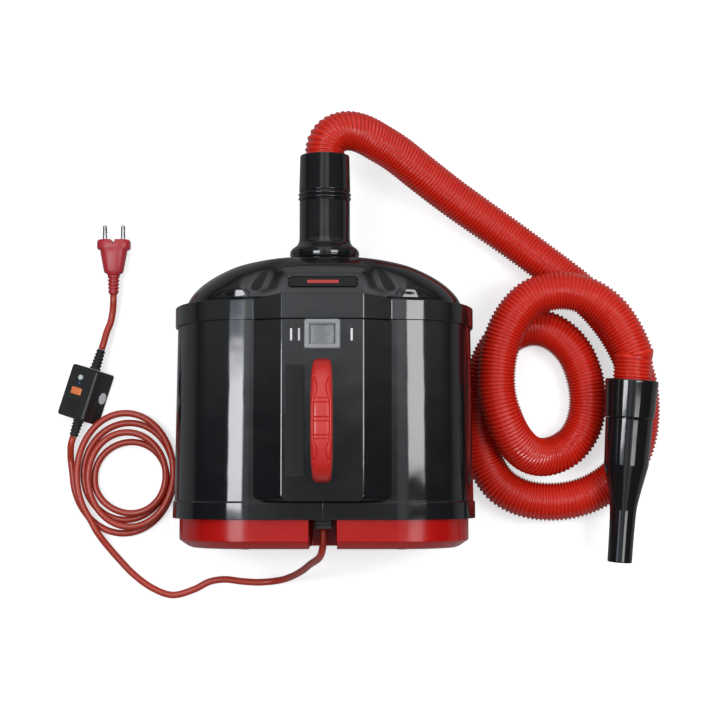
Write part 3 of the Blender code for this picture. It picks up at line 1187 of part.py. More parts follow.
left_shell = body_shell("body_shell_left", -1)
right_shell = body_shell("body_shell_right", 1)
dome_cap()
panel_cover()
handle()
switch()
outlet()
hose()
nozzle()
end_cap()
foam_filter()
feet()
intake_plate()
motor_bridge()
motor("left", -1)
motor("right", 1)
cut(right_shell, mains_entry())
fault_box()
mains_lead()
plug()
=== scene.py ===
import math
from bisect import bisect_left

import bmesh
import bpy
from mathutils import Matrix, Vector


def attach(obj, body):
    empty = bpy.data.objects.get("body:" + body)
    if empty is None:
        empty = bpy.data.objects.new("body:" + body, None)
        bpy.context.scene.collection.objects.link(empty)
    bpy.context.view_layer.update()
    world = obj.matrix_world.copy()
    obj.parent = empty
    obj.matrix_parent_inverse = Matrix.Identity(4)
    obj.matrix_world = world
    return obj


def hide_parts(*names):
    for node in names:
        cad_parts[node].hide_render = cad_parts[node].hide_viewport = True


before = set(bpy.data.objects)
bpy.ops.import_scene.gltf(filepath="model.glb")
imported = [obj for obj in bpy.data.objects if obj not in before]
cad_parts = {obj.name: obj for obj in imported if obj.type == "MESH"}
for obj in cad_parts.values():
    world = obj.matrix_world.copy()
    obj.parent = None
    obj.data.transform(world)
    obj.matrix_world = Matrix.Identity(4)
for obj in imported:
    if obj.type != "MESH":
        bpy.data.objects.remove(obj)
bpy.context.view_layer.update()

# Studio: the dryer lies on a white table between soft boxes, in a dim room with a pale ceiling and a pale
# wall beyond the outlet. The camera looks down on it, leaning a little towards the outlet. None of this is
# part of the object.

CAMERA_PLACE, CAMERA_LEAN = (0.0353, -0.0962, 1.85), math.atan2(111, 1760)
LENS_LENGTH, SENSOR_WIDTH, SIGHT_LIMIT = 88.0, 36.0, 20.0
SOFT_BOXES = (("right_box", (0.865, 0.09, 1.42), (0.08, 0.09, 0.19), (0.36, 0.655), 8.2, (1.0, 1.0, 1.0)),
              ("right_low_box", (0.865, -0.36, 1.42), (0.08, -0.36, 0.19), (0.28, 0.55), 3.0, (1.0, 1.0, 1.0)),
              ("left_box", (-0.68, -0.02, 1.5), (-0.08, -0.02, 0.19), (0.28, 0.54), 6.4, (1.0, 1.0, 1.0)),
              ("left_pane", (-0.69, -0.1, 1.53), (-0.09, -0.1, 0.19), (0.72, 0.58), 3.0, (0.76, 0.84, 1.0)))
TABLE_SIZE, TABLE_TOP, TABLE_PALE, TABLE_MIRRORED, TABLE_GLOW = 12.0, -0.0004, 0.62, 0.3, 0.6
ROOM_TINT, ROOM_DIM, ROOM_SEEN = (0.93, 0.96, 1.0), 0.015, 0.8
CEILING_ABOVE, CEILING_ASIDE, WALL_LIGHT, BEAM_SHADE = 0.24, 0.6, 1.2, 0.88

bpy.context.scene.view_settings.view_transform = "Standard"
lens = bpy.data.cameras.new("camera")
lens.lens, lens.sensor_width, lens.clip_end = LENS_LENGTH, SENSOR_WIDTH, SIGHT_LIMIT
camera = bpy.data.objects.new("camera", lens)
camera.location, camera.rotation_euler = CAMERA_PLACE, (CAMERA_LEAN, 0.0, 0.0)
bpy.context.scene.collection.objects.link(camera)
bpy.context.scene.camera = camera

for name, place, aim, size, power, colour in SOFT_BOXES:
    lamp = bpy.data.lights.new(name, "AREA")
    lamp.shape, lamp.energy, lamp.color = "RECTANGLE", power, colour
    lamp.size, lamp.size_y = size
    holder = bpy.data.objects.new(name, lamp)
    holder.location = place
    holder.rotation_euler = (Vector(aim) - Vector(place)).to_track_quat("-Z", "Y").to_euler()
    bpy.context.scene.collection.objects.link(holder)


class Value:
    """A socket of a finish's nodes. Arithmetic on it adds Math nodes."""

    def __init__(self, finish, socket):
        self.finish, self.socket = finish, socket

    def math(self, operation, *terms):
        return self.finish.node("ShaderNodeMath", {"operation": operation}, *terms)

    def __add__(self, other):
        return self.math("ADD", self, other)

    def __sub__(self, other):
        return self.math("SUBTRACT", self, other)

    def __rsub__(self, other):
        return self.math("SUBTRACT", other, self)

    def __mul__(self, other):
        return self.math("MULTIPLY", self, other)

    def __pow__(self, other):
        return self.math("POWER", self, other)

    def __lt__(self, other):
        return self.math("LESS_THAN", self, other)

    def __gt__(self, other):
        return self.math("GREATER_THAN", self, other)

    def __abs__(self):
        return self.math("ABSOLUTE", self)

    __radd__, __rmul__ = __add__, __mul__


class Finish:
    """A material, with one method that adds a node and one that sets sockets of its shader."""

    def __init__(self, name, slot=None, shader="ShaderNodeBsdfPrincipled"):
        sky = shader == "ShaderNodeBackground"
        self.slot, self.material = slot, (bpy.data.worlds if sky else bpy.data.materials).new(name)
        self.material.use_nodes = True
        self.tree = self.material.node_tree
        self.tree.nodes.clear()
        self.out = self.tree.nodes.new("ShaderNodeOutput" + ("World" if sky else "Material"))
        self.shader = self.tree.nodes.new(shader)
        self.feed(self.out.inputs["Surface"], Value(self, self.shader.outputs[0]))

    def feed(self, socket, value):
        if isinstance(value, Value):
            self.tree.links.new(value.socket, socket)
        elif isinstance(value, tuple) and len(value) == 3 and socket.type == "RGBA":
            socket.default_value = (*value, 1.0)
        else:
            socket.default_value = value

    def node(self, kind, settings, *values, output=0, **named):
        item = self.tree.nodes.new(kind)
        for name, setting in settings.items():
            if name == "stops":
                for stop, (place, shade) in zip(item.color_ramp.elements, setting):
                    stop.position, stop.color = place, (shade, shade, shade, 1.0)
            else:
                setattr(item, name, setting)
        for socket, value in [*zip(item.inputs, values), *((item.inputs[name], named[name]) for name in named)]:
            self.feed(socket, value)
        return Value(self, item.outputs[output])

    def set(self, **sockets):
        for name, value in sockets.items():
            self.feed(self.shader.inputs[name.replace("_", " ")], value)
        return self


paper = Finish("white_paper", shader="ShaderNodeBsdfDiffuse")
mirrored, watched, through = (paper.node("ShaderNodeLightPath", {}, output="Is %s Ray" % kind)
                              for kind in ("Glossy", "Camera", "Transmission"))
# Where glossy surfaces reflect the table, it is made darker: painted shade in the reflections on the glossy
# parts.
paper.set(Color=TABLE_PALE - mirrored * TABLE_MIRRORED)
glow = paper.node("ShaderNodeEmission", {}, (1.0, 1.0, 1.0), (watched + through > 0.5) * TABLE_GLOW)
paper.feed(paper.out.inputs["Surface"],
           paper.node("ShaderNodeAddShader", {}, Value(paper, paper.shader.outputs[0]), glow))
bpy.ops.object.select_all(action="DESELECT")
bpy.ops.mesh.primitive_plane_add(size=TABLE_SIZE, location=(0.0, 0.0, TABLE_TOP))
table = bpy.context.object
table.name = "table"
table.data.materials.append(paper.material)

room = Finish("room", shader="ShaderNodeBackground")
sight = room.node("ShaderNodeSeparateXYZ", {}, room.node("ShaderNodeTexCoord", {}, output="Generated"))
sideways, forwards, upwards = (Value(room, socket) for socket in sight.socket.node.outputs)


def rise(value, low, high):
    """0 up to one value, 1 from another, and a smooth step between them."""
    return room.node("ShaderNodeMapRange", {"interpolation_type": "SMOOTHSTEP"}, value, low, high, 0.0, 1.0)


aside = abs(sideways)
middle_part = 1 - rise(aside, 0.24, 0.42)
ceiling = CEILING_ABOVE * middle_part + rise(aside, 0.02, 0.12) * middle_part * CEILING_ASIDE
beam = rise(forwards, 0.11, 0.16) - rise(forwards, 0.26, 0.36)
wall = (rise(forwards, 0.0, 0.105) * WALL_LIGHT - beam * BEAM_SHADE) * (0.35 + middle_part * 0.65)
room.set(Color=ROOM_TINT, Strength=ROOM_DIM + rise(upwards, 0.3, 0.9) * ceiling + rise(upwards, -0.1, 0.45)
         * wall + room.node("ShaderNodeLightPath", {}, output="Is Camera Ray") * ROOM_SEEN)
bpy.context.scene.world = room.material

# Body: two half shells of glossy black ABS, 3 mm thick, that meet in a seam down the middle and draw in a
# little towards the outlet. A proud band stiffens their lower edge, where the intake cap is pushed in.

AXIS_Z, BODY_Y = 0.102, -0.14195
BODY_WIDTH, BODY_DEPTH, BODY_LENGTH, BODY_CORNER = 0.294, 0.18, 0.206, 0.078
BODY_WALL, BODY_DRAFT, SEAM_HALF = 0.003, 0.003, 0.00015
BAND_LENGTH, BAND_PROUD = 0.017, 0.0015


def take(piece=None, mode="OBJECT"):
    """Leave what is being edited, and select one piece alone, or nothing."""
    if bpy.context.mode != "OBJECT":
        bpy.ops.object.mode_set(mode="OBJECT")
    bpy.ops.object.select_all(action="DESELECT")
    if piece:
        piece.select_set(True)
        bpy.context.view_layer.objects.active = piece
        bpy.ops.object.mode_set(mode=mode)


def begin(name, add, **settings):
    """New primitive, the only thing selected, with its size and place in its mesh."""
    take()
    add(**settings)
    piece = bpy.context.object
    piece.name = piece.data.name = name
    bpy.ops.object.transform_apply(location=True, rotation=True, scale=True)
    return piece


def block(name, size, place=(0.0, 0.0, 0.0)):
    """New block of a size about a place."""
    return begin(name, bpy.ops.mesh.primitive_cube_add, size=1.0, scale=size, location=place)


def choose(piece, kind, test=lambda item: True):
    """In edit mode, select just those points, edges or faces of a piece that pass a test."""
    if bpy.context.mode != "EDIT_MESH" or bpy.context.object != piece:
        take(piece, "EDIT")
    bpy.ops.mesh.select_mode(type=kind)
    bpy.ops.mesh.select_all(action="DESELECT")
    mesh = bmesh.from_edit_mesh(piece.data)
    for item in {"VERT": mesh.verts, "EDGE": mesh.edges, "FACE": mesh.faces}[kind]:
        if test(item):
            item.select_set(True)
    bmesh.update_edit_mesh(piece.data)


def run(edge):
    """Direction of an edge, as lengths without a sign."""
    return [abs(part) for part in (edge.verts[1].co - edge.verts[0].co).normalized()]


def move_points(piece, place):
    """Move the selected points of a piece in edit mode, each to the place that a function gives."""
    mesh = bmesh.from_edit_mesh(piece.data)
    for vert in mesh.verts:
        if vert.select:
            vert.co = place(vert.co)
    bmesh.update_edit_mesh(piece.data)


def reshape(piece, place):
    """Move all of a piece's points."""
    choose(piece, "VERT")
    move_points(piece, place)


def clear_away(piece, test):
    """Delete the faces of a piece that pass a test."""
    choose(piece, "FACE", test)
    bpy.ops.mesh.delete(type="FACE")


def slice_at(piece, axis, *places):
    """Cut new edges right round a piece where planes across an axis pass through it."""
    way = [float(number == axis) for number in range(3)]
    for place in places:
        choose(piece, "FACE")
        bpy.ops.mesh.bisect(plane_co=[place * part for part in way], plane_no=way)


def round_edges(piece, width, steps, test):
    """Round the edges of a piece that pass a test."""
    choose(piece, "EDGE", test)
    bpy.ops.mesh.bevel(offset=width, segments=steps, affect="EDGES")


def with_modifier(piece, kind, **settings):
    """Apply one modifier to a piece."""
    take(piece)
    step = piece.modifiers.new(kind.lower(), kind)
    for name, setting in settings.items():
        setattr(step, name, setting)
    bpy.ops.object.modifier_apply(modifier=step.name)
    return piece


def thicken(piece, wall, **settings):
    """Give a sheet its wall, on its inner side."""
    return with_modifier(piece, "SOLIDIFY", thickness=wall, offset=-1.0, **settings)


def soften(piece, width, segments=2, angle=32):
    """Round a piece's sharp edges."""
    return with_modifier(piece, "BEVEL", width=width, segments=segments, limit_method="ANGLE",
                         angle_limit=math.radians(angle), use_clamp_overlap=True)


def dress(piece, finish, *nodes, body="housing", slot=None):
    """Finish of a piece, the body it rides on, and the CAD nodes it stands for. Its slot argument is not used.
    """
    piece.data.materials.clear()
    piece.data.materials.append(finish.material)
    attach(piece, body)
    if nodes:
        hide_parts(*nodes)


def complete(piece, finish, *nodes, angle=30, even=True, **rest):
    """Smooth shading, and then all that a piece is dressed with."""
    take(piece)
    bpy.ops.object.shade_smooth_by_angle(angle=math.radians(angle))
    if even:
        with_modifier(piece, "WEIGHTED_NORMAL", keep_sharp=True)
    dress(piece, finish, *nodes, **rest)


def two_tone(finish, share, first, second):
    """Colour that turns from a first to a second as a share goes from 0 to 1."""
    shade = finish.node("ShaderNodeMix", {"data_type": "RGBA"}, share, output=2)
    finish.feed(shade.socket.node.inputs[6], first)
    finish.feed(shade.socket.node.inputs[7], second)
    return shade


def plastic(name, slot, colour, roughness, waves=0.04, grain=0.1, wear=0.08):
    """Moulded plastic: handling marks in its sheen, slow sink marks, and a fine skin in its bump."""
    finish = Finish(name, slot)
    place = finish.node("ShaderNodeTexCoord", {}, output="Object")
    cloud, rubbed, skin, sink = (
        finish.node("ShaderNodeTexNoise", {}, Vector=place, Scale=scale, Detail=detail, Roughness=harshness)
        for scale, detail, harshness in
        ((38.0, 4.0, 0.6), (420.0, 3.0, 0.65), (1600.0, 2.0, 0.5), (26.0, 1.0, 0.5)))
    fine = finish.node("ShaderNodeBump", {}, Strength=grain, Distance=0.0002, Height=skin)
    return finish.set(
        Base_Color=two_tone(finish, (cloud - 0.35) * 1.4, tuple(0.9 * part for part in colour),
                            tuple(min(1.0, 1.08 * part + 0.0015) for part in colour)),
        Roughness=roughness + (cloud - 0.5) * wear * 2 + (rubbed - 0.5) * wear,
        Normal=finish.node("ShaderNodeBump", {}, Strength=waves, Distance=0.002, Height=sink, Normal=fine))


def round_box(name, outline, start, end, steps=26):
    """Tube of an outline's width, depth and corner between two places along the body, open at both ends."""
    piece = block(name, (outline[0], end - start, outline[1]), (0.0, BODY_Y + (start + end) / 2, AXIS_Z))
    round_edges(piece, outline[2], steps, lambda edge: run(edge)[1] > 0.9)
    clear_away(piece, lambda face: abs(face.normal.y) > 0.9)
    return piece


gloss_black = plastic("gloss_black_abs", "gloss_black", (0.008, 0.0084, 0.0094), 0.085,
                      waves=0.16, grain=0.02, wear=0.03)

tube = round_box("body_tube", (BODY_WIDTH, BODY_DEPTH, BODY_CORNER), 0.0, BODY_LENGTH)
slice_at(tube, 1, BODY_Y + BAND_LENGTH - 0.001, BODY_Y + BAND_LENGTH)
choose(tube, "VERT", lambda vert: vert.co.y < BODY_Y + BAND_LENGTH - 0.0005)
bpy.ops.transform.shrink_fatten(value=BAND_PROUD)
reshape(tube, lambda place: Vector((
    place.x * (1.0 - 2 * BODY_DRAFT / BODY_WIDTH * (place.y - BODY_Y) / BODY_LENGTH), place.y, place.z)))
take()
for side, name in ((-1, "left"), (1, "right")):
    half = tube.copy()
    half.data = tube.data.copy()
    half.name = half.data.name = "shell_" + name
    bpy.context.scene.collection.objects.link(half)
    choose(half, "FACE")
    bpy.ops.mesh.bisect(plane_co=(side * SEAM_HALF, 0.0, 0.0), plane_no=(1.0, 0.0, 0.0),
                        clear_inner=side > 0, clear_outer=side < 0)
    complete(soften(thicken(half, BODY_WALL), 0.0005), gloss_black, "body_shell_" + name)
bpy.data.objects.remove(tube)

# Outlet cap: one glossy black moulding that is pushed over the shells' upper ends. Its rim carries on the
# raised panel as a bump, and above it the shell rises in a dome with two shoulders and a hood between them.

RIM_START, RIM_LENGTH, RIM_PROUD, RIM_DROOP, RIM_LIFT = 0.1885, 0.0225, 0.0025, 0.003, 0.0024
RIM_END, TOP_Z = RIM_START + RIM_LENGTH, AXIS_Z + BODY_DEPTH / 2
PANEL_FOOT, PANEL_CREST, PANEL_RISE = 0.131, 0.077, 0.015
DOME_RISE, DOME_SWELL, DOME_WALL, DOME_DROOP, DOME_CORNER = 0.047, 1.2, 0.003, 0.0062, 0.85
DOME_FOOT, DOME_TOP, OUTLET_HOLE = (0.272, 0.168), (0.08, 0.072), 0.0235
SHOULDER_X, SHOULDER_HIGH, CREASE_X, CREASE_DEEP = 0.084, 0.0026, 0.0535, 0.004
SCOOP_ALONG, SCOOP_HALF, SCOOP_FLOOR = 0.2393, (0.04, 0.0046), 0.07
BADGE_SIZE, BADGE_ALONG, MARK_SIZE = (0.065, 0.0105, 0.001), 0.2258, (0.03, 0.0034, 0.0005)
RIM_OUTLINE = (BODY_WIDTH - 2 * BODY_DRAFT * RIM_START / BODY_LENGTH + 2 * RIM_PROUD,
               BODY_DEPTH + 2 * RIM_PROUD, BODY_CORNER + RIM_PROUD)
DOME_OUTLINE = (*DOME_FOOT, DOME_CORNER * DOME_FOOT[1] / 2)


def outline_to(x, z, source, target):
    """Carry a point of one rounded outline, given as width, depth and corner, over to another outline."""
    placed = []
    for value, old_size, new_size in zip((x, z), source, target):
        flat, new_flat = old_size / 2 - source[2], new_size / 2 - target[2]
        beyond = (abs(value) - flat) / source[2]
        reach = new_flat + target[2] * beyond if beyond > 0 else abs(value) * new_flat / flat
        placed.append(math.copysign(reach, value))
    return placed


def step_up(value, low, high):
    """0 below low, 1 above high, and a smooth step between them."""
    share = min(max((value - low) / (high - low), 0.0), 1.0)
    return share * share * (3 - 2 * share)


def droop(z):
    """1 low on the body's sides and belly, 0 on its top."""
    return 1 - step_up(z - AXIS_Z, 0.01, 0.088)


def rim_point(place):
    """Place on the rim's wall, which droops at the sides and rises on the bump."""
    bump = abs(place.x) < PANEL_CREST / 2 + 0.001 and place.z > TOP_Z
    lift = 0.0 if place.y < BODY_Y + RIM_START + 0.01 else RIM_LIFT if bump else -RIM_LIFT
    return Vector((place.x, place.y - RIM_DROOP * droop(place.z) + lift,
                   place.z + (PANEL_RISE - RIM_PROUD if bump else 0.0)))


def ledge_point(place):
    """Inner edge of the ledge between the rim and the dome's foot."""
    x, z = outline_to(place.x, min(place.z, TOP_Z + RIM_PROUD) - AXIS_Z, RIM_OUTLINE, DOME_OUTLINE)
    return Vector((x * 0.985, BODY_Y + RIM_END - RIM_DROOP * droop(place.z), AXIS_Z + z * 0.985))


rim = round_box("cap_rim", RIM_OUTLINE, RIM_START, RIM_END - 0.0008)
slice_at(rim, 0, -PANEL_FOOT / 2, -PANEL_CREST / 2, PANEL_CREST / 2, PANEL_FOOT / 2)
reshape(rim, rim_point)
choose(rim, "EDGE", lambda edge: all(vert.co.y > BODY_Y + RIM_END - 0.008 for vert in edge.verts))
bpy.ops.mesh.extrude_region_move()
move_points(rim, ledge_point)
complete(soften(thicken(rim, RIM_PROUD - 0.0002), 0.0008, segments=3, angle=16), gloss_black, "dome_cap")


def middle(edge):
    """Middle of an edge."""
    return (edge.verts[0].co + edge.verts[1].co) / 2


def dome_line(angle):
    """Width, depth and place along the body of the dome at an angle of its swell."""
    return (*(top + (foot - top) * math.cos(angle) for top, foot in zip(DOME_TOP, DOME_FOOT)),
            RIM_END + DOME_RISE * math.sin(angle) ** DOME_SWELL)


def dome_point(place):
    """Place on the dome: its swelling outline, the shoulders and creases, the scoop and the badge's seat."""
    angle = math.pi / 2 * (1 - (1 - min(max(place.y - BODY_Y, 0.0), 1.0)) ** 1.15)
    width, depth, along = dome_line(angle)
    x, z = outline_to(place.x, place.z - AXIS_Z, DOME_OUTLINE, (width, depth, DOME_CORNER * depth / 2))
    upper = step_up(z, 0.2 * depth, 0.42 * depth)
    swell = step_up(along, RIM_END, RIM_END + 0.01) * (1 - step_up(along, RIM_END + 0.034, RIM_END + 0.046))
    crease = math.exp(-((abs(x) - CREASE_X + (along - 0.226) * 0.45) / 0.01) ** 2)
    shoulder = math.exp(-((abs(x) - SHOULDER_X) / 0.02) ** 2)
    z += upper * swell * (SHOULDER_HIGH * shoulder - CREASE_DEEP * crease)
    reach = math.hypot(max(abs(x) - (SCOOP_HALF[0] - SCOOP_HALF[1]), 0.0), along - SCOOP_ALONG)
    if z > 0.0:
        within = 1 - step_up(reach, SCOOP_HALF[1] - 0.0004, SCOOP_HALF[1] + 0.0004)
        z += within * (min(SCOOP_FLOOR, z) - z)
    edge = max(abs(x) - BADGE_SIZE[0] / 2, abs(along - BADGE_ALONG) - BADGE_SIZE[1] / 2)
    z -= upper * BADGE_SIZE[2] * (1 - step_up(edge, -0.0002, 0.0005))
    hang = DOME_DROOP * (1 - step_up(z, 0.022, 0.082)) * math.cos(angle / 2)
    return Vector((x, BODY_Y + along - hang, AXIS_Z + z))


dome = round_box("cap_dome", DOME_OUTLINE, 0.0, 1.0, steps=30)
choose(dome, "EDGE", lambda edge: run(edge)[0] > 0.9 and abs(middle(edge).x) < 0.001)
bpy.ops.mesh.subdivide(number_cuts=83)
choose(dome, "EDGE", lambda edge: run(edge)[1] > 0.9)
bpy.ops.mesh.subdivide(number_cuts=109)
reshape(dome, dome_point)
choose(dome, "EDGE", lambda edge: all(len(vert.link_edges) == 3 and vert.co.y > BODY_Y + RIM_END + 0.03
                                      for vert in edge.verts))
bpy.ops.mesh.extrude_region_move()
move_points(dome, lambda place: Vector((0.0, BODY_Y + RIM_END + DOME_RISE, AXIS_Z)) + OUTLET_HOLE
            * Vector((place.x, 0.0, place.z - AXIS_Z)).normalized())
complete(thicken(dome, DOME_WALL), gloss_black, "dome_cap", even=False)

badge_angle = math.asin(((BADGE_ALONG - RIM_END) / DOME_RISE) ** (1 / DOME_SWELL))
badge_foot, badge_head = (Vector((0.0, BODY_Y + along, AXIS_Z + depth / 2)) for width, depth, along in
                          (dome_line(badge_angle - 0.08), dome_line(badge_angle + 0.08)))
badge_turn = Vector((0.0, 1.0, 0.0)).rotation_difference((badge_head - badge_foot).normalized()).to_matrix()
badge = block("bare_badge", (BADGE_SIZE[0] - 0.0008, BADGE_SIZE[1] - 0.0008, 0.0009))
round_edges(badge, 0.0006, 3, lambda edge: run(edge)[2] > 0.9)
badge_mark = block("badge_mark", MARK_SIZE, (0.0, 0.0, 0.0006))
label_black = plastic("label_black_film", "satin_black", (0.005, 0.005, 0.0055), 0.4, grain=0.2)
label_black.set(Specular_IOR_Level=0.22)
mark_red = plastic("mark_red", "cap_red", (0.42, 0.02, 0.012), 0.34, wear=0.06)
for item, width, finish, nodes in ((badge, 0.00015, label_black, ("badge_plate",)),
                                   (badge_mark, 0.0001, mark_red, ())):
    reshape(item, lambda place: (badge_foot + badge_head) / 2 + badge_turn @ (place - Vector((0, 0, 0.0004))))
    complete(soften(item, width), finish, *nodes, slot="cap_red")

# Panel: a raised cover of the same glossy black that bridges the seam between the shells. It carries the
# switch, the handle and a thin matt black label, which is left bare.

PANEL_START, PANEL_END, PANEL_CORNER, PANEL_WALL = 0.0173, 0.1882, 0.006, 0.0025
PANEL_TOP = TOP_Z + PANEL_RISE
PANEL_FACE = PANEL_TOP + 0.0003
LABEL_SIZE, LABEL_PLACE = (0.0175, 0.105, 0.0008), (-0.0255, -0.04945)

panel = block("panel_cover", (PANEL_FOOT, PANEL_END - PANEL_START, PANEL_RISE - 0.0003),
              (0.0, BODY_Y + (PANEL_START + PANEL_END) / 2, (TOP_Z + PANEL_TOP) / 2 + 0.00015))
clear_away(panel, lambda face: face.normal.z < -0.9)
choose(panel, "VERT", lambda vert: vert.co.z > PANEL_TOP - 0.001)
bpy.ops.transform.resize(value=(PANEL_CREST / PANEL_FOOT, 1.0, 1.0))
round_edges(panel, PANEL_CORNER, 8, lambda edge: run(edge)[1] < 0.1 and run(edge)[2] > 0.3
            and middle(edge).y < BODY_Y + 0.05)
complete(soften(thicken(panel, PANEL_WALL), 0.0009, segments=3, angle=16), gloss_black, "panel_cover")

label = block("bare_label", LABEL_SIZE, (*LABEL_PLACE, PANEL_FACE + LABEL_SIZE[2] / 2))
round_edges(label, 0.0008, 4, lambda edge: run(edge)[2] > 0.9)
choose(label, "FACE", lambda face: face.normal.z > 0.9)
bpy.ops.mesh.inset(thickness=0.0006, depth=0.0)
bpy.ops.mesh.inset(thickness=0.0001, depth=-0.00006)
complete(soften(label, 0.00015), label_black, "label_plate")

# Handle: a stiff arched grip of red plastic, screwed from inside the panel at both feet. Raised rails run
# along its sides, and between them the crown is cut with paired grooves and a waisted field at each end.

HANDLE_Y, HANDLE_REACH, HANDLE_ARCH, ARCH_SQUARE = -0.0493, 0.0512, 0.03425, 0.72
HANDLE_HALF, HANDLE_SWELL, HANDLE_THICK, GRIP_SQUARE = 0.00825, 0.002, 0.00675, 0.55
HANDLE_ROWS, ARCH_STEPS, RAIL_X, GROOVE_DEPTH = 420, 6000, 0.0079, 0.0011
GROOVES = (-0.0296, -0.0335, -0.0471, -0.0508, -0.0637, -0.0671)
WAISTS, FIELD_START, FIELD_END = (-0.0194, -0.0789), -0.088, -0.0085


def squared(value, power):
    """A sine or cosine drawn out towards its ends, for a squarish round."""
    return math.copysign(abs(value) ** power, value)


def rolled(name, rows, sides, place):
    """Tube with closed ends: a fine sheet whose points a function of its row and turn, 0 to 1, puts round."""
    piece = begin(name, bpy.ops.mesh.primitive_grid_add, x_subdivisions=rows, y_subdivisions=sides, size=2.0)
    reshape(piece, lambda spot: place((spot.x + 1) / 2, (spot.y + 1) / 2))
    bpy.ops.mesh.select_all(action="SELECT")
    bpy.ops.mesh.remove_doubles(threshold=1e-6)
    choose(piece, "EDGE", lambda edge: edge.is_boundary)
    bpy.ops.mesh.fill_holes(sides=0)
    bpy.ops.mesh.select_all(action="SELECT")
    bpy.ops.mesh.normals_make_consistent(inside=False)
    return piece


def reach_along(points):
    """How far along a line each of its points lies."""
    reach = [0.0]
    for start, end in zip(points, points[1:]):
        reach.append(reach[-1] + (end - start).length)
    return reach


def arch_at(angle):
    """Middle line of the arch, as (y, z)."""
    return Vector((HANDLE_Y - HANDLE_REACH * squared(math.cos(angle), ARCH_SQUARE),
                   PANEL_FACE + HANDLE_ARCH * max(math.sin(angle), 0.0) ** ARCH_SQUARE))


fine_angles = [math.pi * number / ARCH_STEPS for number in range(ARCH_STEPS + 1)]
arch_reach = reach_along([arch_at(angle) for angle in fine_angles])
arch_angles = [fine_angles[min(bisect_left(arch_reach, arch_reach[-1] * row / HANDLE_ROWS), ARCH_STEPS)]
               for row in range(HANDLE_ROWS + 1)]


def crown_cut(lengthwise, across):
    """How deep the crown is cut at a place along the handle and across it, in metres."""
    waist = min(abs(lengthwise - place) for place in WAISTS)
    field = 0.0068 - 0.0034 * math.exp(-(waist / 0.0075) ** 2)
    inside = step_up(lengthwise, FIELD_START - 0.001, FIELD_START + 0.001)
    inside *= 1 - step_up(lengthwise, FIELD_END - 0.001, FIELD_END + 0.001)
    cut = math.exp(-((abs(across) - field - 0.0008) / 0.00055) ** 2) * inside
    if abs(across) < field:
        cut = max([cut] + [0.8 * math.exp(-((lengthwise - line) / 0.00048) ** 2) for line in GROOVES])
    elif abs(across) < RAIL_X:
        cut = max(cut, 0.35 * inside * step_up(abs(across), field + 0.0002, field + 0.0012))
    return GROOVE_DEPTH * cut


def handle_point(row, turn):
    """Point of the arch: squarish section, swelling to the middle, its crown cut."""
    angle = arch_angles[min(max(round(row * HANDLE_ROWS), 0), HANDLE_ROWS)]
    way = arch_at(min(angle + 0.002, math.pi)) - arch_at(max(angle - 0.002, 0.0))
    outward = Vector((-way.y, way.x)).normalized()
    half, up = HANDLE_HALF + HANDLE_SWELL * math.sin(angle), math.sin(2 * math.pi * turn)
    across = half * squared(math.cos(2 * math.pi * turn), GRIP_SQUARE)
    place = arch_at(angle) + outward * HANDLE_THICK * squared(up, GRIP_SQUARE)
    if up > 0.2 and abs(across) < half * 0.97:
        place -= outward * crown_cut(place.x, across)
    return Vector((across, place.x, place.y))


handle_red = plastic("handle_red_plastic", "handle_red", (0.5, 0.018, 0.013), 0.3, waves=0.1, wear=0.1)
complete(rolled("handle_grip", HANDLE_ROWS, 132, handle_point), handle_red, "handle", angle=40, even=False)

# Switch: a grey rocker in a black housing, snapped into the panel under a splash boot of clear plastic with
# a window in its top. White printed bars beside it, two on the left and one on the right, stand for the
# number of turbines.

SWITCH_Y, SWITCH_FOOT, SWITCH_FLOOR, FLANGE_TOP = 0.0315, 0.19955, 0.2008, PANEL_FACE + 0.0015
BOOT_FOOT, BOOT_HEAD, BOOT_TOP, BOOT_WALL = (0.0175, 0.01475), (0.0163, 0.01355), PANEL_FACE + 0.0105, 0.0012
WINDOW, WINDOW_SUNK, WINDOW_LIP = (0.012, 0.0092), 0.0016, 0.0011
ROCKER_OUTLINE = ((-0.011, 0.0045), (-0.011, -0.0005), (-0.00495, -0.0027), (0.0, -0.0045),
                  (0.00495, -0.0027), (0.011, -0.0005), (0.011, 0.0045), (0.0045, 0.0024), (-0.0045, 0.0024))
ROCKER_AXIS, ROCKER_HALF_LENGTH, ROCKER_SLOPE = PANEL_TOP + 0.0015, 0.0089, math.radians(17.5)
RIDGE_OUTLINE = ((-0.0004, 0.002), (0.0004, 0.002), (0.0002, 0.003), (-0.0002, 0.003))
BARS_X, BAR_HALF, INK_THICK = (-0.0292, -0.0218, 0.0275), (0.001, 0.0058), 0.00012


def lofted(name, *rings):
    """Closed piece: a flat face with a ring's points, drawn out from ring to ring."""
    piece = begin(name, bpy.ops.mesh.primitive_circle_add, vertices=len(rings[0]), fill_type="NGON")
    choose(piece, "FACE")
    first = iter(rings[0])
    move_points(piece, lambda spot: next(first))
    for before, ring in zip(rings, rings[1:]):
        bpy.ops.mesh.extrude_region_move()
        move_points(piece, lambda spot: Vector(min(zip(before, ring), key=lambda pair:
                                                   (Vector(pair[0]) - spot).length)[1]))
    bpy.ops.mesh.select_all(action="SELECT")
    bpy.ops.mesh.normals_make_consistent(inside=False)
    return piece


def round_rectangle(half_x, half_y, corner, height, centre=(0.0, SWITCH_Y), steps=6):
    """Ring of points round a level rectangle with round corners."""
    points = []
    for turn, (side_x, side_y) in enumerate(((1, 1), (-1, 1), (-1, -1), (1, -1))):
        for step in range(steps + 1):
            angle = math.pi / 2 * (turn + step / steps)
            points.append((centre[0] + side_x * (half_x - corner) + corner * math.cos(angle),
                           centre[1] + side_y * (half_y - corner) + corner * math.sin(angle), height))
    return points


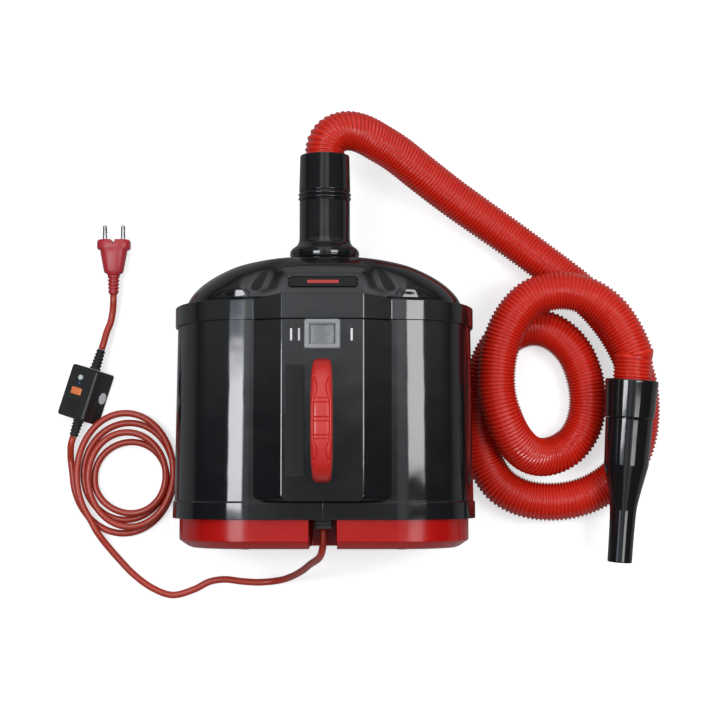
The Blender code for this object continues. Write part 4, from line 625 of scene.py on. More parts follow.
satin_black = plastic("satin_black_nylon", "satin_black", (0.016, 0.016, 0.017), 0.42, grain=0.35)
housing = lofted("switch_housing", *(round_rectangle(*ring) for ring in (
    (0.01425, 0.01075, 0.001, SWITCH_FOOT), (0.01425, 0.01075, 0.001, PANEL_FACE),
    (0.01575, 0.013, 0.0015, PANEL_FACE), (0.01575, 0.013, 0.0015, FLANGE_TOP),
    (0.01285, 0.0093, 0.0006, FLANGE_TOP), (0.01285, 0.0093, 0.0006, SWITCH_FLOOR))))
complete(soften(housing, 0.0003), satin_black, "switch_housing")

rocker_grey = plastic("rocker_grey", "switch_grey", (0.14, 0.143, 0.147), 0.33, waves=0.03, grain=0.12)
rocker = lofted("rocker_key", *([(x, SWITCH_Y + side * ROCKER_HALF_LENGTH, ROCKER_AXIS + z)
                                 for x, z in ROCKER_OUTLINE] for side in (-1, 1)))
complete(soften(rocker, 0.0005, segments=3), rocker_grey, "switch_rocker", body="rocker")
for x in (-0.0072, 0.0072):
    mark = begin("rocker_mark", bpy.ops.mesh.primitive_torus_add, major_radius=0.0011, minor_radius=0.00022,
                 major_segments=28, minor_segments=8, location=(x, SWITCH_Y, ROCKER_AXIS + 0.00345),
                 rotation=(0.0, math.copysign(ROCKER_SLOPE, x), 0.0))
    complete(mark, rocker_grey, body="rocker", even=False)
ridge = lofted("rocker_ridge", *([(x, SWITCH_Y + y, ROCKER_AXIS + z) for y, z in RIDGE_OUTLINE]
                                 for x in (-0.0042, 0.0042)))
complete(soften(ridge, 0.00012), rocker_grey, body="rocker")

boot = lofted("splash_boot", *(round_rectangle(*ring) for ring in (
    (*BOOT_FOOT, 0.0022, PANEL_FACE), (*BOOT_HEAD, 0.0022, BOOT_TOP),
    (WINDOW[0] + WINDOW_LIP, WINDOW[1] + WINDOW_LIP, 0.0016, BOOT_TOP),
    (*WINDOW, 0.001, BOOT_TOP - WINDOW_SUNK))))
clear_away(boot, lambda face: face.normal.z < -0.9)
boot_clear = plastic("clear_boot_pvc", "clear_boot", (0.36, 0.37, 0.38), 0.1,
                     waves=0.25, grain=0.0, wear=0.06)
place = boot_clear.node("ShaderNodeTexCoord", {}, output="Object")
across, lengthwise = (boot_clear.node("ShaderNodeSeparateXYZ", {}, place, output=axis) for axis in (0, 1))
pane = (abs(across) < WINDOW[0]) * (abs(lengthwise - SWITCH_Y) < WINDOW[1])
haze = boot_clear.node("ShaderNodeTexNoise", {}, place, Scale=240.0, Detail=3.0)
boot_clear.set(Alpha=0.62 - pane * 0.52 + (haze - 0.5) * 0.12)
complete(soften(thicken(boot, BOOT_WALL), 0.0005, segments=3, angle=30), boot_clear, "switch_boot",
         even=False)

white_ink = plastic("white_ink", "satin_black", (0.62, 0.62, 0.62), 0.45, waves=0.0, grain=0.2, wear=0.1)
for x in BARS_X:
    bar = lofted("turbine_bar", *(round_rectangle(*BAR_HALF, 0.0006, PANEL_FACE + up, (x, SWITCH_Y))
                                  for up in (0.0, INK_THICK)))
    complete(bar, white_ink)

# Outlet: a neck of glossy black that flares into a collar on the dome, a ribbed locking ring, and the cuff
# that grips the hose's end. All three are turned forms about the body's axis, moulded in ABS.

COLLAR_Y, RING_Y, CUFF_Y, CURVE_STEP = 0.1122, 0.17265, 0.18195, 1.2


def smooth_points(marks, step):
    """Evenly spaced points on the smooth curve through a route's marks, and the curve's length."""
    marks = [Vector(mark) for mark in marks]
    marks = [2 * marks[0] - marks[1]] + marks + [2 * marks[-1] - marks[-2]]
    fine = [0.5 * (2 * start + (end - before) * t + (2 * before - 5 * start + 4 * end - after) * t * t
                   + (3 * start - before - 3 * end + after) * t ** 3)
            for before, start, end, after in zip(marks, marks[1:], marks[2:], marks[3:])
            for t in (number / 20 for number in range(20))] + [marks[-2]]
    travelled = reach_along(fine)
    count = max(2, round(travelled[-1] / step) + 1)
    points = []
    for number in range(count):
        target = travelled[-1] * number / (count - 1)
        index = min(bisect_left(travelled, target, 1), len(fine) - 1) - 1
        share = (target - travelled[index]) / (travelled[index + 1] - travelled[index])
        points.append(fine[index].lerp(fine[index + 1], share))
    return points, travelled[-1]


def turned(name, profile, base, heading=(0.0, 1.0, 0.0), sides=112):
    """Closed piece spun about an axis from a loop of (radius, place along the axis) points in millimetres."""
    turn = Vector((0.0, 0.0, 1.0)).rotation_difference(Vector(heading)).to_matrix()
    piece = begin(name, bpy.ops.mesh.primitive_plane_add)
    take(piece, "EDIT")
    mesh = bmesh.from_edit_mesh(piece.data)
    bmesh.ops.delete(mesh, geom=list(mesh.verts), context="VERTS")
    corners = [mesh.verts.new((radius / 1000, 0.0, along / 1000)) for radius, along in profile]
    for start, end in zip(corners, corners[1:] + corners[:1]):
        mesh.edges.new((start, end))
    bmesh.update_edit_mesh(piece.data)
    bpy.ops.mesh.select_all(action="SELECT")
    bpy.ops.mesh.spin(steps=sides, angle=2 * math.pi, center=(0.0, 0.0, 0.0), axis=(0.0, 0.0, 1.0),
                      use_auto_merge=True)
    bpy.ops.mesh.select_all(action="SELECT")
    bpy.ops.mesh.remove_doubles(threshold=1e-6)
    bpy.ops.mesh.normals_make_consistent(inside=False)
    bpy.ops.mesh.select_all(action="SELECT")
    move_points(piece, lambda spot: Vector(base) + turn @ spot)
    return piece


def curve_through(*points):
    """Smooth line of (radius, along) points through a few of them."""
    return [(spot.x, spot.y) for spot in smooth_points([(*point, 0.0) for point in points], CURVE_STEP)[0]]


collar = turned("outlet_collar", [
    (22, 0), (30.6, 0), (33.6, 3), (34.6, 6.6),
    *curve_through((34.2, 10), (32.2, 12.6), (28.6, 15.2), (26.2, 18.4), (25.4, 22)),
    (25.2, 24), (25.2, 60), (22, 60)], (0.0, COLLAR_Y, AXIS_Z))
complete(soften(collar, 0.0006), gloss_black, "outlet_collar", angle=24)

ring = turned("hose_ring", [
    (22, 0), (25, 0), (25.2, 0.8),
    *((25 + 1.4 * math.sin(math.pi * step / 8), start + 3.6 * step / 8)
      for start in (0.8, 4.8) for step in range(1, 9)),
    (25, 9), (22, 9)], (0.0, RING_Y, AXIS_Z))
complete(ring, gloss_black, "hose_ring", angle=50)

cuff = turned("hose_cuff", [(22, 0), (24.9, 0), (25.6, 0.8), (24.7, 36.2), (24.1, 37), (20.6, 37),
                            (20.4, 36.4), (20.4, 2.5), (22, 2)], (0.0, CUFF_Y, AXIS_Z))
complete(soften(cuff, 0.0004), gloss_black, "hose_cuff", angle=24)

# Intake cap: a red ABS lid that pushes into the shells' lower ends, slotted for the air, notched for the
# mains lead, and rounded off all round. Four rubber studs on it and four feet under the belly carry the dryer.

CAP_OUTLINE, CAP_WALL = (0.2835, 0.1695, 0.07275), 0.0025
CAP_STATIONS = ((0.006, 0.0), (-0.0205, 0.0), (-0.0214, 0.0006), (-0.0268, 0.0085), (-0.0283, 0.0125))
NOTCH_HALF, NOTCH_FLOOR = 0.0135, 0.095
SLOT_WIDTH, SLOT_LENGTH, SLOT_PITCH, SLOT_START, SLOTS_A_SIDE = 0.0036, 0.068, 0.007, 0.024, 7
FOOT_PROFILE = ((0, 0), (7.8, 0), (8.5, 0.6), (9.8, 10.8), (9.4, 11.7), (0, 11.7))
STUD_PROFILE = ((0, 0), (6, 0), (6, 0.9), (5.4, 1.5), (4.2, 1.8), (0, 1.8))


def cap_point(place):
    """Place on the cap's side wall, drawn in by its station's inset."""
    inset = min(CAP_STATIONS, key=lambda station: abs(BODY_Y + station[0] - place.y))[1]
    x, z = outline_to(place.x, place.z - AXIS_Z, CAP_OUTLINE,
                      [size - sides * inset for size, sides in zip(CAP_OUTLINE, (2, 2, 1))])
    return Vector((x, place.y, AXIS_Z + z))


def cut_from(piece, cutter):
    """Take the space of a cutter, which is then thrown away, out of a piece."""
    with_modifier(piece, "BOOLEAN", object=cutter, operation="DIFFERENCE", solver="EXACT")
    bpy.data.objects.remove(cutter)


end_cap = round_box("intake_cap", CAP_OUTLINE, CAP_STATIONS[-1][0], CAP_STATIONS[0][0])
slice_at(end_cap, 1, *(BODY_Y + along for along, inset in CAP_STATIONS[1:-1]))
reshape(end_cap, cap_point)
choose(end_cap, "EDGE", lambda edge: edge.is_boundary)
bpy.ops.mesh.fill_holes(sides=0)
notch = block("notch", (2 * NOTCH_HALF, 0.06, 0.12), (0.0, BODY_Y - 0.011, NOTCH_FLOOR + 0.06))
round_edges(notch, 0.003, 5, lambda edge: run(edge)[1] > 0.9 and middle(edge).z < 0.12)
cut_from(end_cap, notch)
clear_away(end_cap, lambda face: face.normal.y > 0.9)
thicken(end_cap, CAP_WALL, use_even_offset=True)
for side in (-1, 1):
    for number in range(SLOTS_A_SIDE):
        slot = block("slot", (SLOT_WIDTH, 0.012, SLOT_LENGTH),
                     (side * (SLOT_START + number * SLOT_PITCH), BODY_Y - 0.0283, AXIS_Z))
        round_edges(slot, SLOT_WIDTH * 0.48, 5, lambda edge: run(edge)[1] > 0.9)
        cut_from(end_cap, slot)
cap_red = plastic("cap_red_abs", "cap_red", (0.4, 0.0055, 0.004), 0.2, waves=0.14, grain=0.06)
cap_red.set(Specular_IOR_Level=0.36)
complete(soften(end_cap, 0.0004, angle=28), cap_red, "end_cap", angle=28, body="intake_cap")

rubber = plastic("black_rubber", "black_rubber", (0.012, 0.012, 0.012), 0.72, waves=0.0, grain=0.8, wear=0.12)
foot_spots = [(x, BODY_Y + along, 0.0) for along in (0.03, 0.172) for x in (-0.06, 0.06)]
stud_spots = [(x, BODY_Y - 0.0286, AXIS_Z + up) for up in (-0.026, 0.026) for x in (-0.076, 0.076)]
for node, ending, body, profile, heading, spots in (
        ("belly_foot_%d", "_pad", "housing", FOOT_PROFILE, (0, 0, 1), foot_spots),
        ("end_foot_%d", "_stud", "intake_cap", STUD_PROFILE, (0, -1, 0), stud_spots)):
    for number, spot in enumerate(spots, 1):
        foot = turned(node % number + ending, profile, spot, heading, sides=40)
        complete(foot, rubber, node % number, body=body)

# Hose: 1.5 m of ribbed red vinyl, 40 mm over the ribs. It bends hard over from the outlet's cuff,
# falls to the table, lies there in two turns, the second partly on the first, and ends in the nozzle.

HOSE_CREST, HOSE_VALLEY, RIB_PITCH, RINGS_A_RIB = 0.02, 0.0181, 0.0037, 6
HOSE_START_Y, HOSE_LOW = 0.18475, 0.0203
HOSE_ROUTE = [
    (0.0035, 0.2352, 0.1012), (0.0117, 0.2428, 0.0982), (0.024, 0.2462, 0.0935), (0.0385, 0.2442, 0.086),
    (0.054, 0.2375, 0.0765), (0.074, 0.227, 0.0655), (0.099, 0.2095, 0.052), (0.13, 0.188, 0.038),
    (0.162, 0.167, 0.0275), (0.196, 0.144, 0.0215), (0.23, 0.119), (0.262, 0.094), (0.29, 0.066),
    (0.311, 0.034), (0.325, -0.004), (0.327, -0.042), (0.32, -0.074), (0.305, -0.098), (0.283, -0.115),
    (0.258, -0.125), (0.231, -0.128), (0.204, -0.124), (0.181, -0.111), (0.166, -0.088), (0.1595, -0.058),
    (0.1595, -0.024), (0.166, 0.008), (0.18, 0.035), (0.2, 0.05), (0.222, 0.053), (0.243, 0.044),
    (0.26, 0.025), (0.27, -0.002), (0.272, -0.03), (0.265, -0.055), (0.25, -0.073, 0.0208),
    (0.229, -0.0815, 0.0255), (0.209, -0.0785, 0.036), (0.192, -0.063, 0.05), (0.18, -0.039, 0.06),
    (0.174, -0.01, 0.0622), (0.1765, 0.023, 0.0622), (0.188, 0.055, 0.0622), (0.209, 0.079, 0.0622),
    (0.237, 0.0875, 0.0622), (0.264, 0.083, 0.063), (0.287, 0.068, 0.065), (0.303, 0.046, 0.067)]
NOZZLE_FACE, NOZZLE_HEADING = Vector((0.3113, -0.004, 0.067)), Vector((-0.0732, -0.9968, -0.0325)).normalized()


def swept(name, points, radius_at, sides):
    """Closed tube round a line of points, with a UV map of its own: turns round it, and metres along it."""
    headings = [(after - before).normalized() for before, after in
                zip([points[0]] + points[:-1], points[1:] + [points[-1]])]
    across, distances, places = headings[0].orthogonal().normalized(), reach_along(points), []
    for point, heading, travelled in zip(points, headings, distances):
        across = (across - heading * across.dot(heading)).normalized()
        over, radius = heading.cross(across), radius_at(travelled)
        for side in range(sides):
            angle = 2 * math.pi * side / sides
            places.append(point + (across * math.cos(angle) + over * math.sin(angle)) * radius)
    faces = [(near + side, near + (side + 1) % sides, near + sides + (side + 1) % sides, near + sides + side)
             for near in range(0, len(places) - sides, sides) for side in range(sides)]
    faces += [tuple(range(sides))[::-1], tuple(range(len(places) - sides, len(places)))]
    mesh = bpy.data.meshes.new(name)
    mesh.from_pydata(places, [], faces)
    mesh.shade_smooth()
    layer = mesh.uv_layers.new(name="round_and_along")
    for face in mesh.polygons:
        wraps = len(face.vertices) == 4 and face.index % sides == sides - 1
        for loop in face.loop_indices:
            number, side = divmod(mesh.loops[loop].vertex_index, sides)
            layer.data[loop].uv = ((side or (sides if wraps else 0)) / sides, distances[number])
    piece = bpy.data.objects.new(name, mesh)
    bpy.context.scene.collection.objects.link(piece)
    return piece


def rib_radius(travelled):
    """Round crests a little narrower than the valleys between them."""
    wave = 0.5 - 0.5 * math.cos(2 * math.pi * travelled / RIB_PITCH)
    return HOSE_VALLEY + (HOSE_CREST - HOSE_VALLEY) * wave ** 1.3


hose_marks = [(0.0, HOSE_START_Y + along, AXIS_Z) for along in (0.0, 0.02, 0.04)]
hose_marks += [(*mark, HOSE_LOW)[:3] for mark in HOSE_ROUTE]
hose_marks += [NOZZLE_FACE + NOZZLE_HEADING * (0.0192 - back) for back in (0.046, 0.04, 0.02, 0.0)]
hose_points, hose_length = smooth_points(hose_marks, RIB_PITCH / RINGS_A_RIB)
hose = swept("hose_skin", hose_points, rib_radius, 40)
hose_red = plastic("hose_red_vinyl", "hose_red", (0.66, 0.022, 0.007), 0.24, waves=0.1, wear=0.1)
# The rib valleys are painted a darker red than the crests: painted shade in the hollows between the ribs.
moulded = Value(hose_red, hose_red.shader.inputs["Base Color"].links[0].from_socket)
along = hose_red.node("ShaderNodeSeparateXYZ", {}, hose_red.node("ShaderNodeUVMap", {}), output=1)
crest_vs_painted_shade = 0.5 - along.math("COSINE", along * (2 * math.pi / RIB_PITCH)) * 0.5
hose_red.set(Base_Color=two_tone(hose_red, crest_vs_painted_shade ** 0.8, (0.42, 0.008, 0.005), moulded))
dress(hose, hose_red, "hose")

# Nozzle: a glossy black cuff clamps the hose's free end, and the tapered nozzle pushes into it and pulls
# out again. Both are turned about the nozzle's own line.

nozzle_cuff = turned("nozzle_cuff_body", [
    (20.6, 0), (26.2, 0), (26.8, 1.2), (26.8, 4), (25, 37.5), (24.4, 38.5), (20.6, 38.5), (20.2, 38),
    (20.2, 22.5), (19, 22.2), (19, 19.8), (20.4, 19.5)], NOZZLE_FACE, NOZZLE_HEADING)
complete(soften(nozzle_cuff, 0.0004), gloss_black, "nozzle_cuff", angle=24)

nozzle = turned("air_nozzle_body", [
    (17.6, -12), (19.4, -12), (19.8, -11.2), (19.8, 0), (23.2, 0), (24, 1), (24, 2.2), (22.4, 47),
    *curve_through((22.2, 48.2), (19.6, 60.2), (17, 72.1), (14, 88.1), (13.1, 100), (12.6, 120), (12.4, 145)),
    (11.9, 146), *curve_through((11.2, 145.2), (11.2, 120), (11.8, 96), (15, 70), (17.6, 48.2))],
    NOZZLE_FACE + NOZZLE_HEADING * 0.0388, NOZZLE_HEADING)
complete(nozzle, gloss_black, "nozzle", angle=24, body="air_nozzle")
hose_points[::6] + hose_points[-1:]

# Mains lead: one length of 7 mm round orange-red cable. It drops from the gland to the table, runs out
# to the left, lies in a flat coil of four turns in two layers, and rises into the fault-current box.

CORD_RADIUS, CORD_SIDES, CORD_LOW = 0.0035, 20, 0.0038
GLAND_SIZE, GLAND_START, GLAND_END, GLAND_HEIGHT = 0.018, -0.15145, -0.12595, 0.15
GROOVE_STARTS, GROOVE_WIDTH, GROOVE_SUNK = (0.003, 0.0065), 0.0012, 0.0009
LEAD_START = Vector((0.0, -0.15175, GLAND_HEIGHT))
LEAD_ROUTE = [
    (0.0, -0.16545, 0.15), (-0.0018, -0.175, 0.144), (-0.0045, -0.1804, 0.132), (-0.0088, -0.1845, 0.114),
    (-0.0142, -0.1888, 0.09), (-0.0215, -0.1955, 0.064), (-0.029, -0.201, 0.041), (-0.037, -0.2055, 0.0225),
    (-0.046, -0.209, 0.0105), (-0.058, -0.2112, 0.0048), (-0.072, -0.212), (-0.088, -0.211),
    (-0.106, -0.209), (-0.122, -0.2115), (-0.138, -0.2195), (-0.16, -0.2252), (-0.181, -0.218),
    (-0.2005, -0.204), (-0.2165, -0.1875, 0.0042), (-0.2275, -0.1745, 0.007), (-0.2342, -0.1655, 0.0104)]
TAIL_MARK = (-0.2668, -0.074, 0.0103)
UPPER_ROUTE = [(-0.23, 0.049, 0.012), (-0.2262, 0.06, 0.0095), (-0.224, 0.072, 0.0105)]
COIL_MARKS, MARKS_A_TURN = 100, 24
BOX_PLACE, BOX_HEADING, BOX_LENGTH = (-0.2494, -0.0171), math.radians(17.4), 0.055
LOWER_SLEEVE, UPPER_SLEEVE, PLUG_SLEEVE, SLEEVE_GAP = 0.0175, 0.022, 0.019, 0.0006
PLUG_X, PLUG_FACE, PLUG_HEIGHT, PLUG_BACK = -0.2231, 0.1458, 0.0132, 0.0375


def box_place(across, along, up):
    """Point in the shared frame from the fault-current box's own across, along and up."""
    x = BOX_PLACE[0] + across * math.cos(BOX_HEADING) + along * math.sin(BOX_HEADING)
    y = BOX_PLACE[1] - across * math.sin(BOX_HEADING) + along * math.cos(BOX_HEADING)
    return Vector((x, y, up))


def coil_mark(turn):
    """Mark in the coil after a number of turns: two turns inwards, then two outwards on top of them."""
    inward, shift = 0.4 * min(turn, 4.0 - turn), 0.0029 * step_up(turn, 2.0, 2.5)
    angle = math.pi + 2 * math.pi * turn
    return Vector((-0.2106 + 0.00495 * inward + shift + (0.0551 - 0.0245 * inward - shift) * math.cos(angle),
                   -0.0978 - 0.0075 * inward + (0.0668 - 0.0425 * inward) * math.sin(angle),
                   CORD_LOW + 0.0077 * step_up(turn, 1.9, 2.35)))


def cable(name, marks, step, *nodes):
    """Round cable through its marks, and its points and length."""
    points, length = smooth_points(marks, step)
    piece = swept(name, points, lambda travelled: CORD_RADIUS, CORD_SIDES)
    dress(piece, cord_red, *nodes)
    return piece, points, length


gland = block("gland_block", (GLAND_SIZE, GLAND_END - GLAND_START, GLAND_SIZE),
              (0.0, (GLAND_START + GLAND_END) / 2, GLAND_HEIGHT))
for start in GROOVE_STARTS:
    slice_at(gland, 1, GLAND_START + start, GLAND_START + start + GROOVE_WIDTH)
    choose(gland, "FACE", lambda face: abs(face.normal.y) < 0.1 and GROOVE_WIDTH / 3
           > abs(face.calc_center_median().y - GLAND_START - start - GROOVE_WIDTH / 2))
    bpy.ops.mesh.extrude_region_shrink_fatten(TRANSFORM_OT_shrink_fatten={"value": -GROOVE_SUNK})
round_edges(gland, 0.0012, 3, lambda edge: run(edge)[1] > 0.9)
complete(soften(gland, 0.0003), satin_black, "cord_gland")

cord_red = plastic("cord_orange_red", "cord_red", (0.44, 0.038, 0.018), 0.34,
                   waves=0.1, grain=0.12, wear=0.12)
coil = [coil_mark(number / MARKS_A_TURN) for number in range(COIL_MARKS)]
into, back = (coil[-1] - coil[-2]).normalized(), (coil[0] - coil[1]).normalized()
box_way = (box_place(0, 1, 0) - box_place(0, 0, 0)).normalized()
below = box_place(-0.0005, -BOX_LENGTH / 2 - SLEEVE_GAP - LOWER_SLEEVE, 0.014)
above = box_place(-0.0005, BOX_LENGTH / 2 + SLEEVE_GAP + UPPER_SLEEVE, 0.014)
plug_end = Vector((PLUG_X, PLUG_FACE - PLUG_BACK - PLUG_SLEEVE - SLEEVE_GAP, PLUG_HEIGHT))
straight = 2 * CORD_RADIUS
lead_marks = [LEAD_START, LEAD_START - Vector((0, straight, 0)),
              *((*mark, CORD_LOW)[:3] for mark in LEAD_ROUTE),
              coil[-1] + into * 2 * straight, coil[-1] + into * straight, *coil[::-1],
              coil[0] + back * straight, coil[0] + back * 2 * straight, TAIL_MARK,
              below - box_way * straight, below]
upper_marks = [above, above + box_way * straight, *UPPER_ROUTE, plug_end - Vector((0, straight, 0)), plug_end]
lead, lead_points, lead_length = cable("mains_lead", lead_marks, 0.0035, "cord_lead", "cord_coil", "cord_tail")
upper, upper_points, upper_length = cable("plug_lead", upper_marks, 0.003, "cord_upper")

# Fault-current box: two clipped halves of black plastic on the lead. Its sloping face has a pale test
# button, a small blue lens, an orange reset button and finger ribs, its side a round bare label, and ribbed
# sleeves guard the lead at both ends.

FACE_LOW, FACE_HIGH = Vector((-0.0245, 0.0105)), Vector((0.0055, 0.0283))
FACE_WAY, FACE_MIDDLE = (FACE_HIGH - FACE_LOW).normalized(), (FACE_LOW + FACE_HIGH) / 2
FACE_OUT, SPLIT_GAP = Vector((-FACE_WAY.y, FACE_WAY.x)), 0.0003
FRONT = (FACE_LOW, FACE_HIGH, FACE_HIGH - FACE_OUT * 0.012,
         FACE_LOW - FACE_OUT * 0.0066 + Vector((0.0045, 0.0)))
BACK = (FRONT[3] - FACE_OUT * SPLIT_GAP, FRONT[2] - FACE_OUT * SPLIT_GAP, Vector((0.0193, 0.0025)),
        Vector((0.0175, 0.0)), Vector((-0.016, 0.0)))
RIBS, RIB_STEP, SLEEVE_CORE, SLEEVE_START = 5, 0.0031, 3.6, 0.0278


def on_face(across, along, out=0.0):
    """Point on the box's sloping face, from its middle, and out from it."""
    place = FACE_MIDDLE + FACE_WAY * across + FACE_OUT * out
    return box_place(place.x, along, place.y)


def face_ring(half_x, half_y, corner, centre, out):
    """Ring of points round a rectangle with round corners that lies along the box's sloping face."""
    return [on_face(x, y, out) for x, y, level in round_rectangle(half_x, half_y, corner, 0.0, centre)]


box_black = plastic("box_black_pc", "satin_black", (0.016, 0.016, 0.017), 0.38,
                    waves=0.05, grain=0.55, wear=0.1)
for name, outline, node in (("box_front", FRONT, "rcd_case_front"), ("box_back", BACK, "rcd_case_back")):
    half = lofted(name, *([(place.x, end * BOX_LENGTH / 2, place.y) for place in outline] for end in (-1, 1)))
    round_edges(half, 0.0028, 6, lambda edge: abs(abs(middle(edge).y) - BOX_LENGTH / 2) < 1e-5 and
                (edge.verts[1].co - edge.verts[0].co).normalized().dot((FACE_OUT.x, 0, FACE_OUT.y)) ** 2 > 0.6)
    if outline is FRONT:
        round_edges(half, 0.003, 8, lambda edge: run(edge)[1] > 0.9 and
                    (middle(edge).xz - FACE_HIGH).length < 1e-4)
    reshape(half, lambda spot: box_place(*spot))
    complete(soften(half, 0.001, segments=3, angle=38), box_black, node)

face_heading = on_face(0.0, 0.0, 1.0) - on_face(0.0, 0.0)
pale_green = plastic("pale_green_button", "button_pale_green", (0.56, 0.66, 0.62), 0.3)
test = turned("test_button", [(0, -2.8), (2.8, -2.8), (2.8, 1.1), (2.4, 1.5), (1.5, 1.7), (0, 1.8)],
              on_face(-0.002, 0.0155), face_heading, sides=48)
complete(test, pale_green, "rcd_test_button", angle=50, body="test_button")
lens_blue = plastic("lens_blue", "satin_black", (0.01, 0.045, 0.14), 0.12, grain=0.0, wear=0.04)
lens_dome = turned("indicator_lens", [(0, -0.6), (1.9, -0.6), (1.9, 0.2), (1.3, 0.6), (0, 0.8)],
                   on_face(-0.0022, 0.0092), face_heading, sides=40)
complete(lens_dome, lens_blue, angle=60)
orange = plastic("orange_button", "button_orange", (0.74, 0.2, 0.055), 0.32, grain=0.15)
reset = lofted("reset_button", *(
    face_ring(*sizes, 0.0012, (-0.002, 0.0008), out) for *sizes, out in
    ((0.00675, 0.00375, -0.0028), (0.00675, 0.00375, 0.001), (0.006, 0.003, 0.0015))))
complete(soften(reset, 0.0003), orange, "rcd_reset_button", body="reset_button")
for number in range(RIBS):
    rib = lofted("finger_rib", *(
        face_ring(0.0078, half, half * 0.9, (-0.0015, -0.0085 - RIB_STEP * number), out)
        for half, out in ((0.0008, -0.0004), (0.0008, 0.0004), (0.0004, 0.0009))))
    complete(soften(rib, 0.00015), box_black)
side_way = (BACK[2] - BACK[1]).normalized()
side_spot = BACK[1] + side_way * 0.0088
side_heading = box_place(-side_way.y, 0.0, side_way.x) - box_place(0.0, 0.0, 0.0)
round_label = turned("round_label", [(0, -0.2), (6, -0.2), (6, 0.2), (5.8, 0.3), (0, 0.3)],
                     box_place(side_spot.x, 0.001, side_spot.y), side_heading, sides=48)
complete(round_label, plastic("label_pale", "satin_black", (0.86, 0.86, 0.9), 0.42, grain=0.2))


def ribbed_sleeve(name, node, start, heading, length, ribs, finish, wide=5.7, narrow=4.6):
    """Strain relief: a taper with deep ribs all round it, as wide in millimetres as its ends are said to be."""
    profile, pitch = [(SLEEVE_CORE, 0), (wide, 0)], 1000 * length / ribs
    for number in range(ribs):
        radius = wide + (narrow - wide) * (number + 0.5) / ribs
        profile += [(radius * part, (number + share) * pitch)
                    for part, share in ((1.0, 0.18), (1.0, 0.55), (0.8, 0.66), (0.8, 0.94))]
    profile += [(narrow * 0.95, ribs * pitch), (SLEEVE_CORE, ribs * pitch)]
    complete(soften(turned(name, profile, start, heading, sides=64), 0.00025), finish, node)


ribbed_sleeve("box_sleeve_upper", "rcd_relief_upper", box_place(-0.0005, SLEEVE_START, 0.014), box_way,
              UPPER_SLEEVE, 6, rubber)
ribbed_sleeve("box_sleeve_lower", "rcd_relief_lower", box_place(-0.0005, -SLEEVE_START, 0.014), -box_way,
              LOWER_SLEEVE, 5, rubber)

# Plug: a two-pin mains plug moulded on in soft red PVC, with a notched flange, a waisted grip and a ribbed
# sleeve. The pins are nickel-plated brass with round tips.

PLUG_RINGS = ((0.0, 0.016, 0.01), (-0.0006, 0.0168, 0.0106), (-0.0025, 0.0175, 0.011),
              (-0.0085, 0.0175, 0.011), (-0.0096, 0.0168, 0.0106), (-0.0112, 0.0139, 0.011),
              (-0.015, 0.0134, 0.0108), (-0.025, 0.0115, 0.0095), (-0.033, 0.0101, 0.0082),
              (-0.0345, 0.0094, 0.0078), (-0.0358, 0.0068, 0.0068), (-0.0375, 0.0062, 0.0062))
PLUG_SQUARE, PIN_SPREAD = 0.7, 0.0095
NOTCH_OUTLINE = ((-0.0031, 0.001), (0.0031, 0.001), (0.0003, -0.0052), (-0.0003, -0.0052))


def plug_ring(along, half_x, half_z):
    """Squarish ring across the plug."""
    return [(PLUG_X + half_x * squared(math.cos(turn), PLUG_SQUARE), PLUG_FACE + along,
             PLUG_HEIGHT + half_z * squared(math.sin(turn), PLUG_SQUARE))
            for turn in (2 * math.pi * number / 64 for number in range(64))]


def metal(name, slot, shades, roughness, scale, stretch=8.0, detail=4.0, clouds=60.0, wear=(0.25, 0.15),
          bump=(0.15, 0.0003)):
    """Bare metal with marks drawn out one way and a clouded surface."""
    finish = Finish(name, slot)
    place = finish.node("ShaderNodeTexCoord", {}, output="Object")
    drawn = finish.node("ShaderNodeVectorMath", {"operation": "MULTIPLY"}, place, (1.0, stretch, 1.0))
    marks = finish.node("ShaderNodeTexNoise", {}, drawn, Scale=scale, Detail=detail)
    cloud = finish.node("ShaderNodeTexNoise", {}, place, Scale=clouds, Detail=3.0)
    return finish.set(
        Metallic=1.0, Roughness=roughness + (marks - 0.5) * wear[0] + (cloud - 0.5) * wear[1],
        Base_Color=finish.node("ShaderNodeValToRGB", {"stops": tuple(zip((0.3, 0.7), shades))}, cloud),
        Normal=finish.node("ShaderNodeBump", {}, Strength=bump[0], Distance=bump[1], Height=marks))


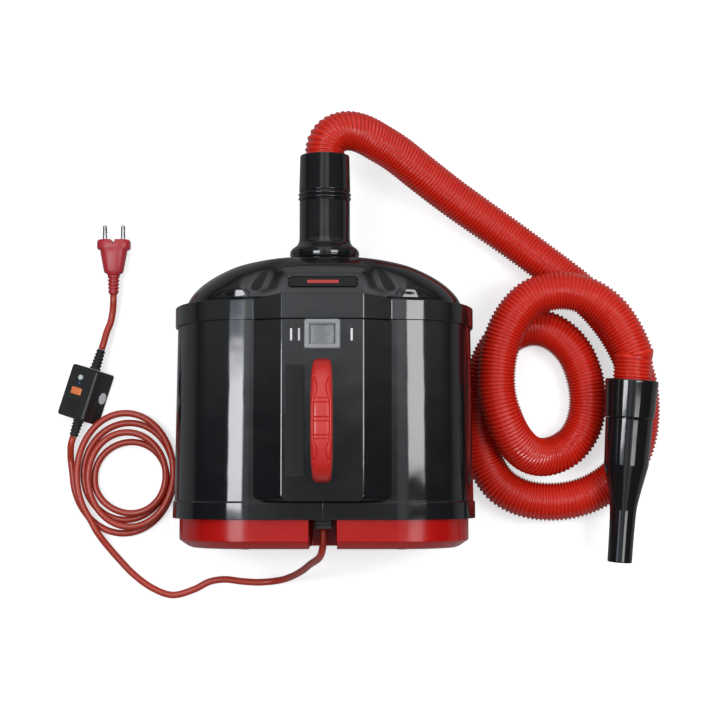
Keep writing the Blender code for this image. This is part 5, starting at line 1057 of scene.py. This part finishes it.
plug_red = plastic("plug_red_pvc", "plug_red", (0.42, 0.022, 0.032), 0.36, waves=0.12, grain=0.25, wear=0.12)
plug = soften(lofted("plug_moulding", *(plug_ring(*ring) for ring in PLUG_RINGS)), 0.0004, angle=40)
cut_from(plug, lofted("wedge", *([(PLUG_X + x, PLUG_FACE + y, z) for x, y in NOTCH_OUTLINE]
                                 for z in (-0.005, 0.035))))
complete(plug, plug_red, "plug_body", even=False)
ribbed_sleeve("plug_sleeve", "plug_relief", (PLUG_X, PLUG_FACE - PLUG_BACK - 0.0003, PLUG_HEIGHT), (0, -1, 0),
              PLUG_SLEEVE, 5, plug_red, 6.2, 5.5)

nickel = metal("nickel_plate", "steel", (0.52, 0.68), 0.2, 1500.0, stretch=0.06, detail=3.0, clouds=180.0,
               wear=(0.16, 0.1), bump=(0.1, 0.0002))
for side, name in ((-1, "left"), (1, "right")):
    pin = turned("pin_" + name, [(0, -2), (2.4, -2), (2.4, 13), (2.1, 14.3), (1.4, 15.2), (0, 15.5)],
                 (PLUG_X + side * PIN_SPREAD, PLUG_FACE + 0.0003, PLUG_HEIGHT), sides=40)
    complete(pin, nickel, "plug_pin_" + name, angle=50)

# Inside: the foam filter, the plates, the two turbine motors with their fans, and the wiring. These solids
# stay as the CAD has them and get their real finishes: foam, nylon, aluminium, steel, rubber and PVC.

foam = Finish("filter_foam")
cells = foam.node("ShaderNodeTexCoord", {}, output="Object")
pores = foam.node("ShaderNodeTexVoronoi", {"feature": "F1"}, cells, Scale=620.0)
# The pores' hollows are painted darker than the struts between them: painted shade in the pores.
foam.set(Roughness=0.95, Specular_IOR_Level=0.15,
         Base_Color=foam.node("ShaderNodeValToRGB", {"stops": ((0.1, 0.004), (0.6, 0.035))}, pores),
         Normal=foam.node("ShaderNodeBump", {}, Strength=0.9, Distance=0.0012, Height=pores))
fan_white = plastic("fan_white_nylon", None, (0.6, 0.6, 0.57), 0.42, waves=0.05, grain=0.25, wear=0.1)
aluminium = metal("cast_aluminium", None, (0.45, 0.62), 0.42, 420.0)
steel = metal("turned_steel", None, (0.42, 0.58), 0.3, 700.0)
for finish, nodes in ((foam, ("foam_filter",)), (aluminium, ("motor_housing_left", "motor_housing_right")),
                      (steel, ("rotor_left", "rotor_right", "handle_screw_front", "handle_screw_back")),
                      (rubber, ("motor_gasket_left", "motor_gasket_right")), (cord_red, ("inner_lead",)),
                      (fan_white, ("fan_left", "fan_right", "terminal_block")),
                      (satin_black, ("intake_plate", "motor_bridge", "gland_bracket", "switch_lead"))):
    for node in nodes:
        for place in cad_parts[node].material_slots:
            place.material = finish.material
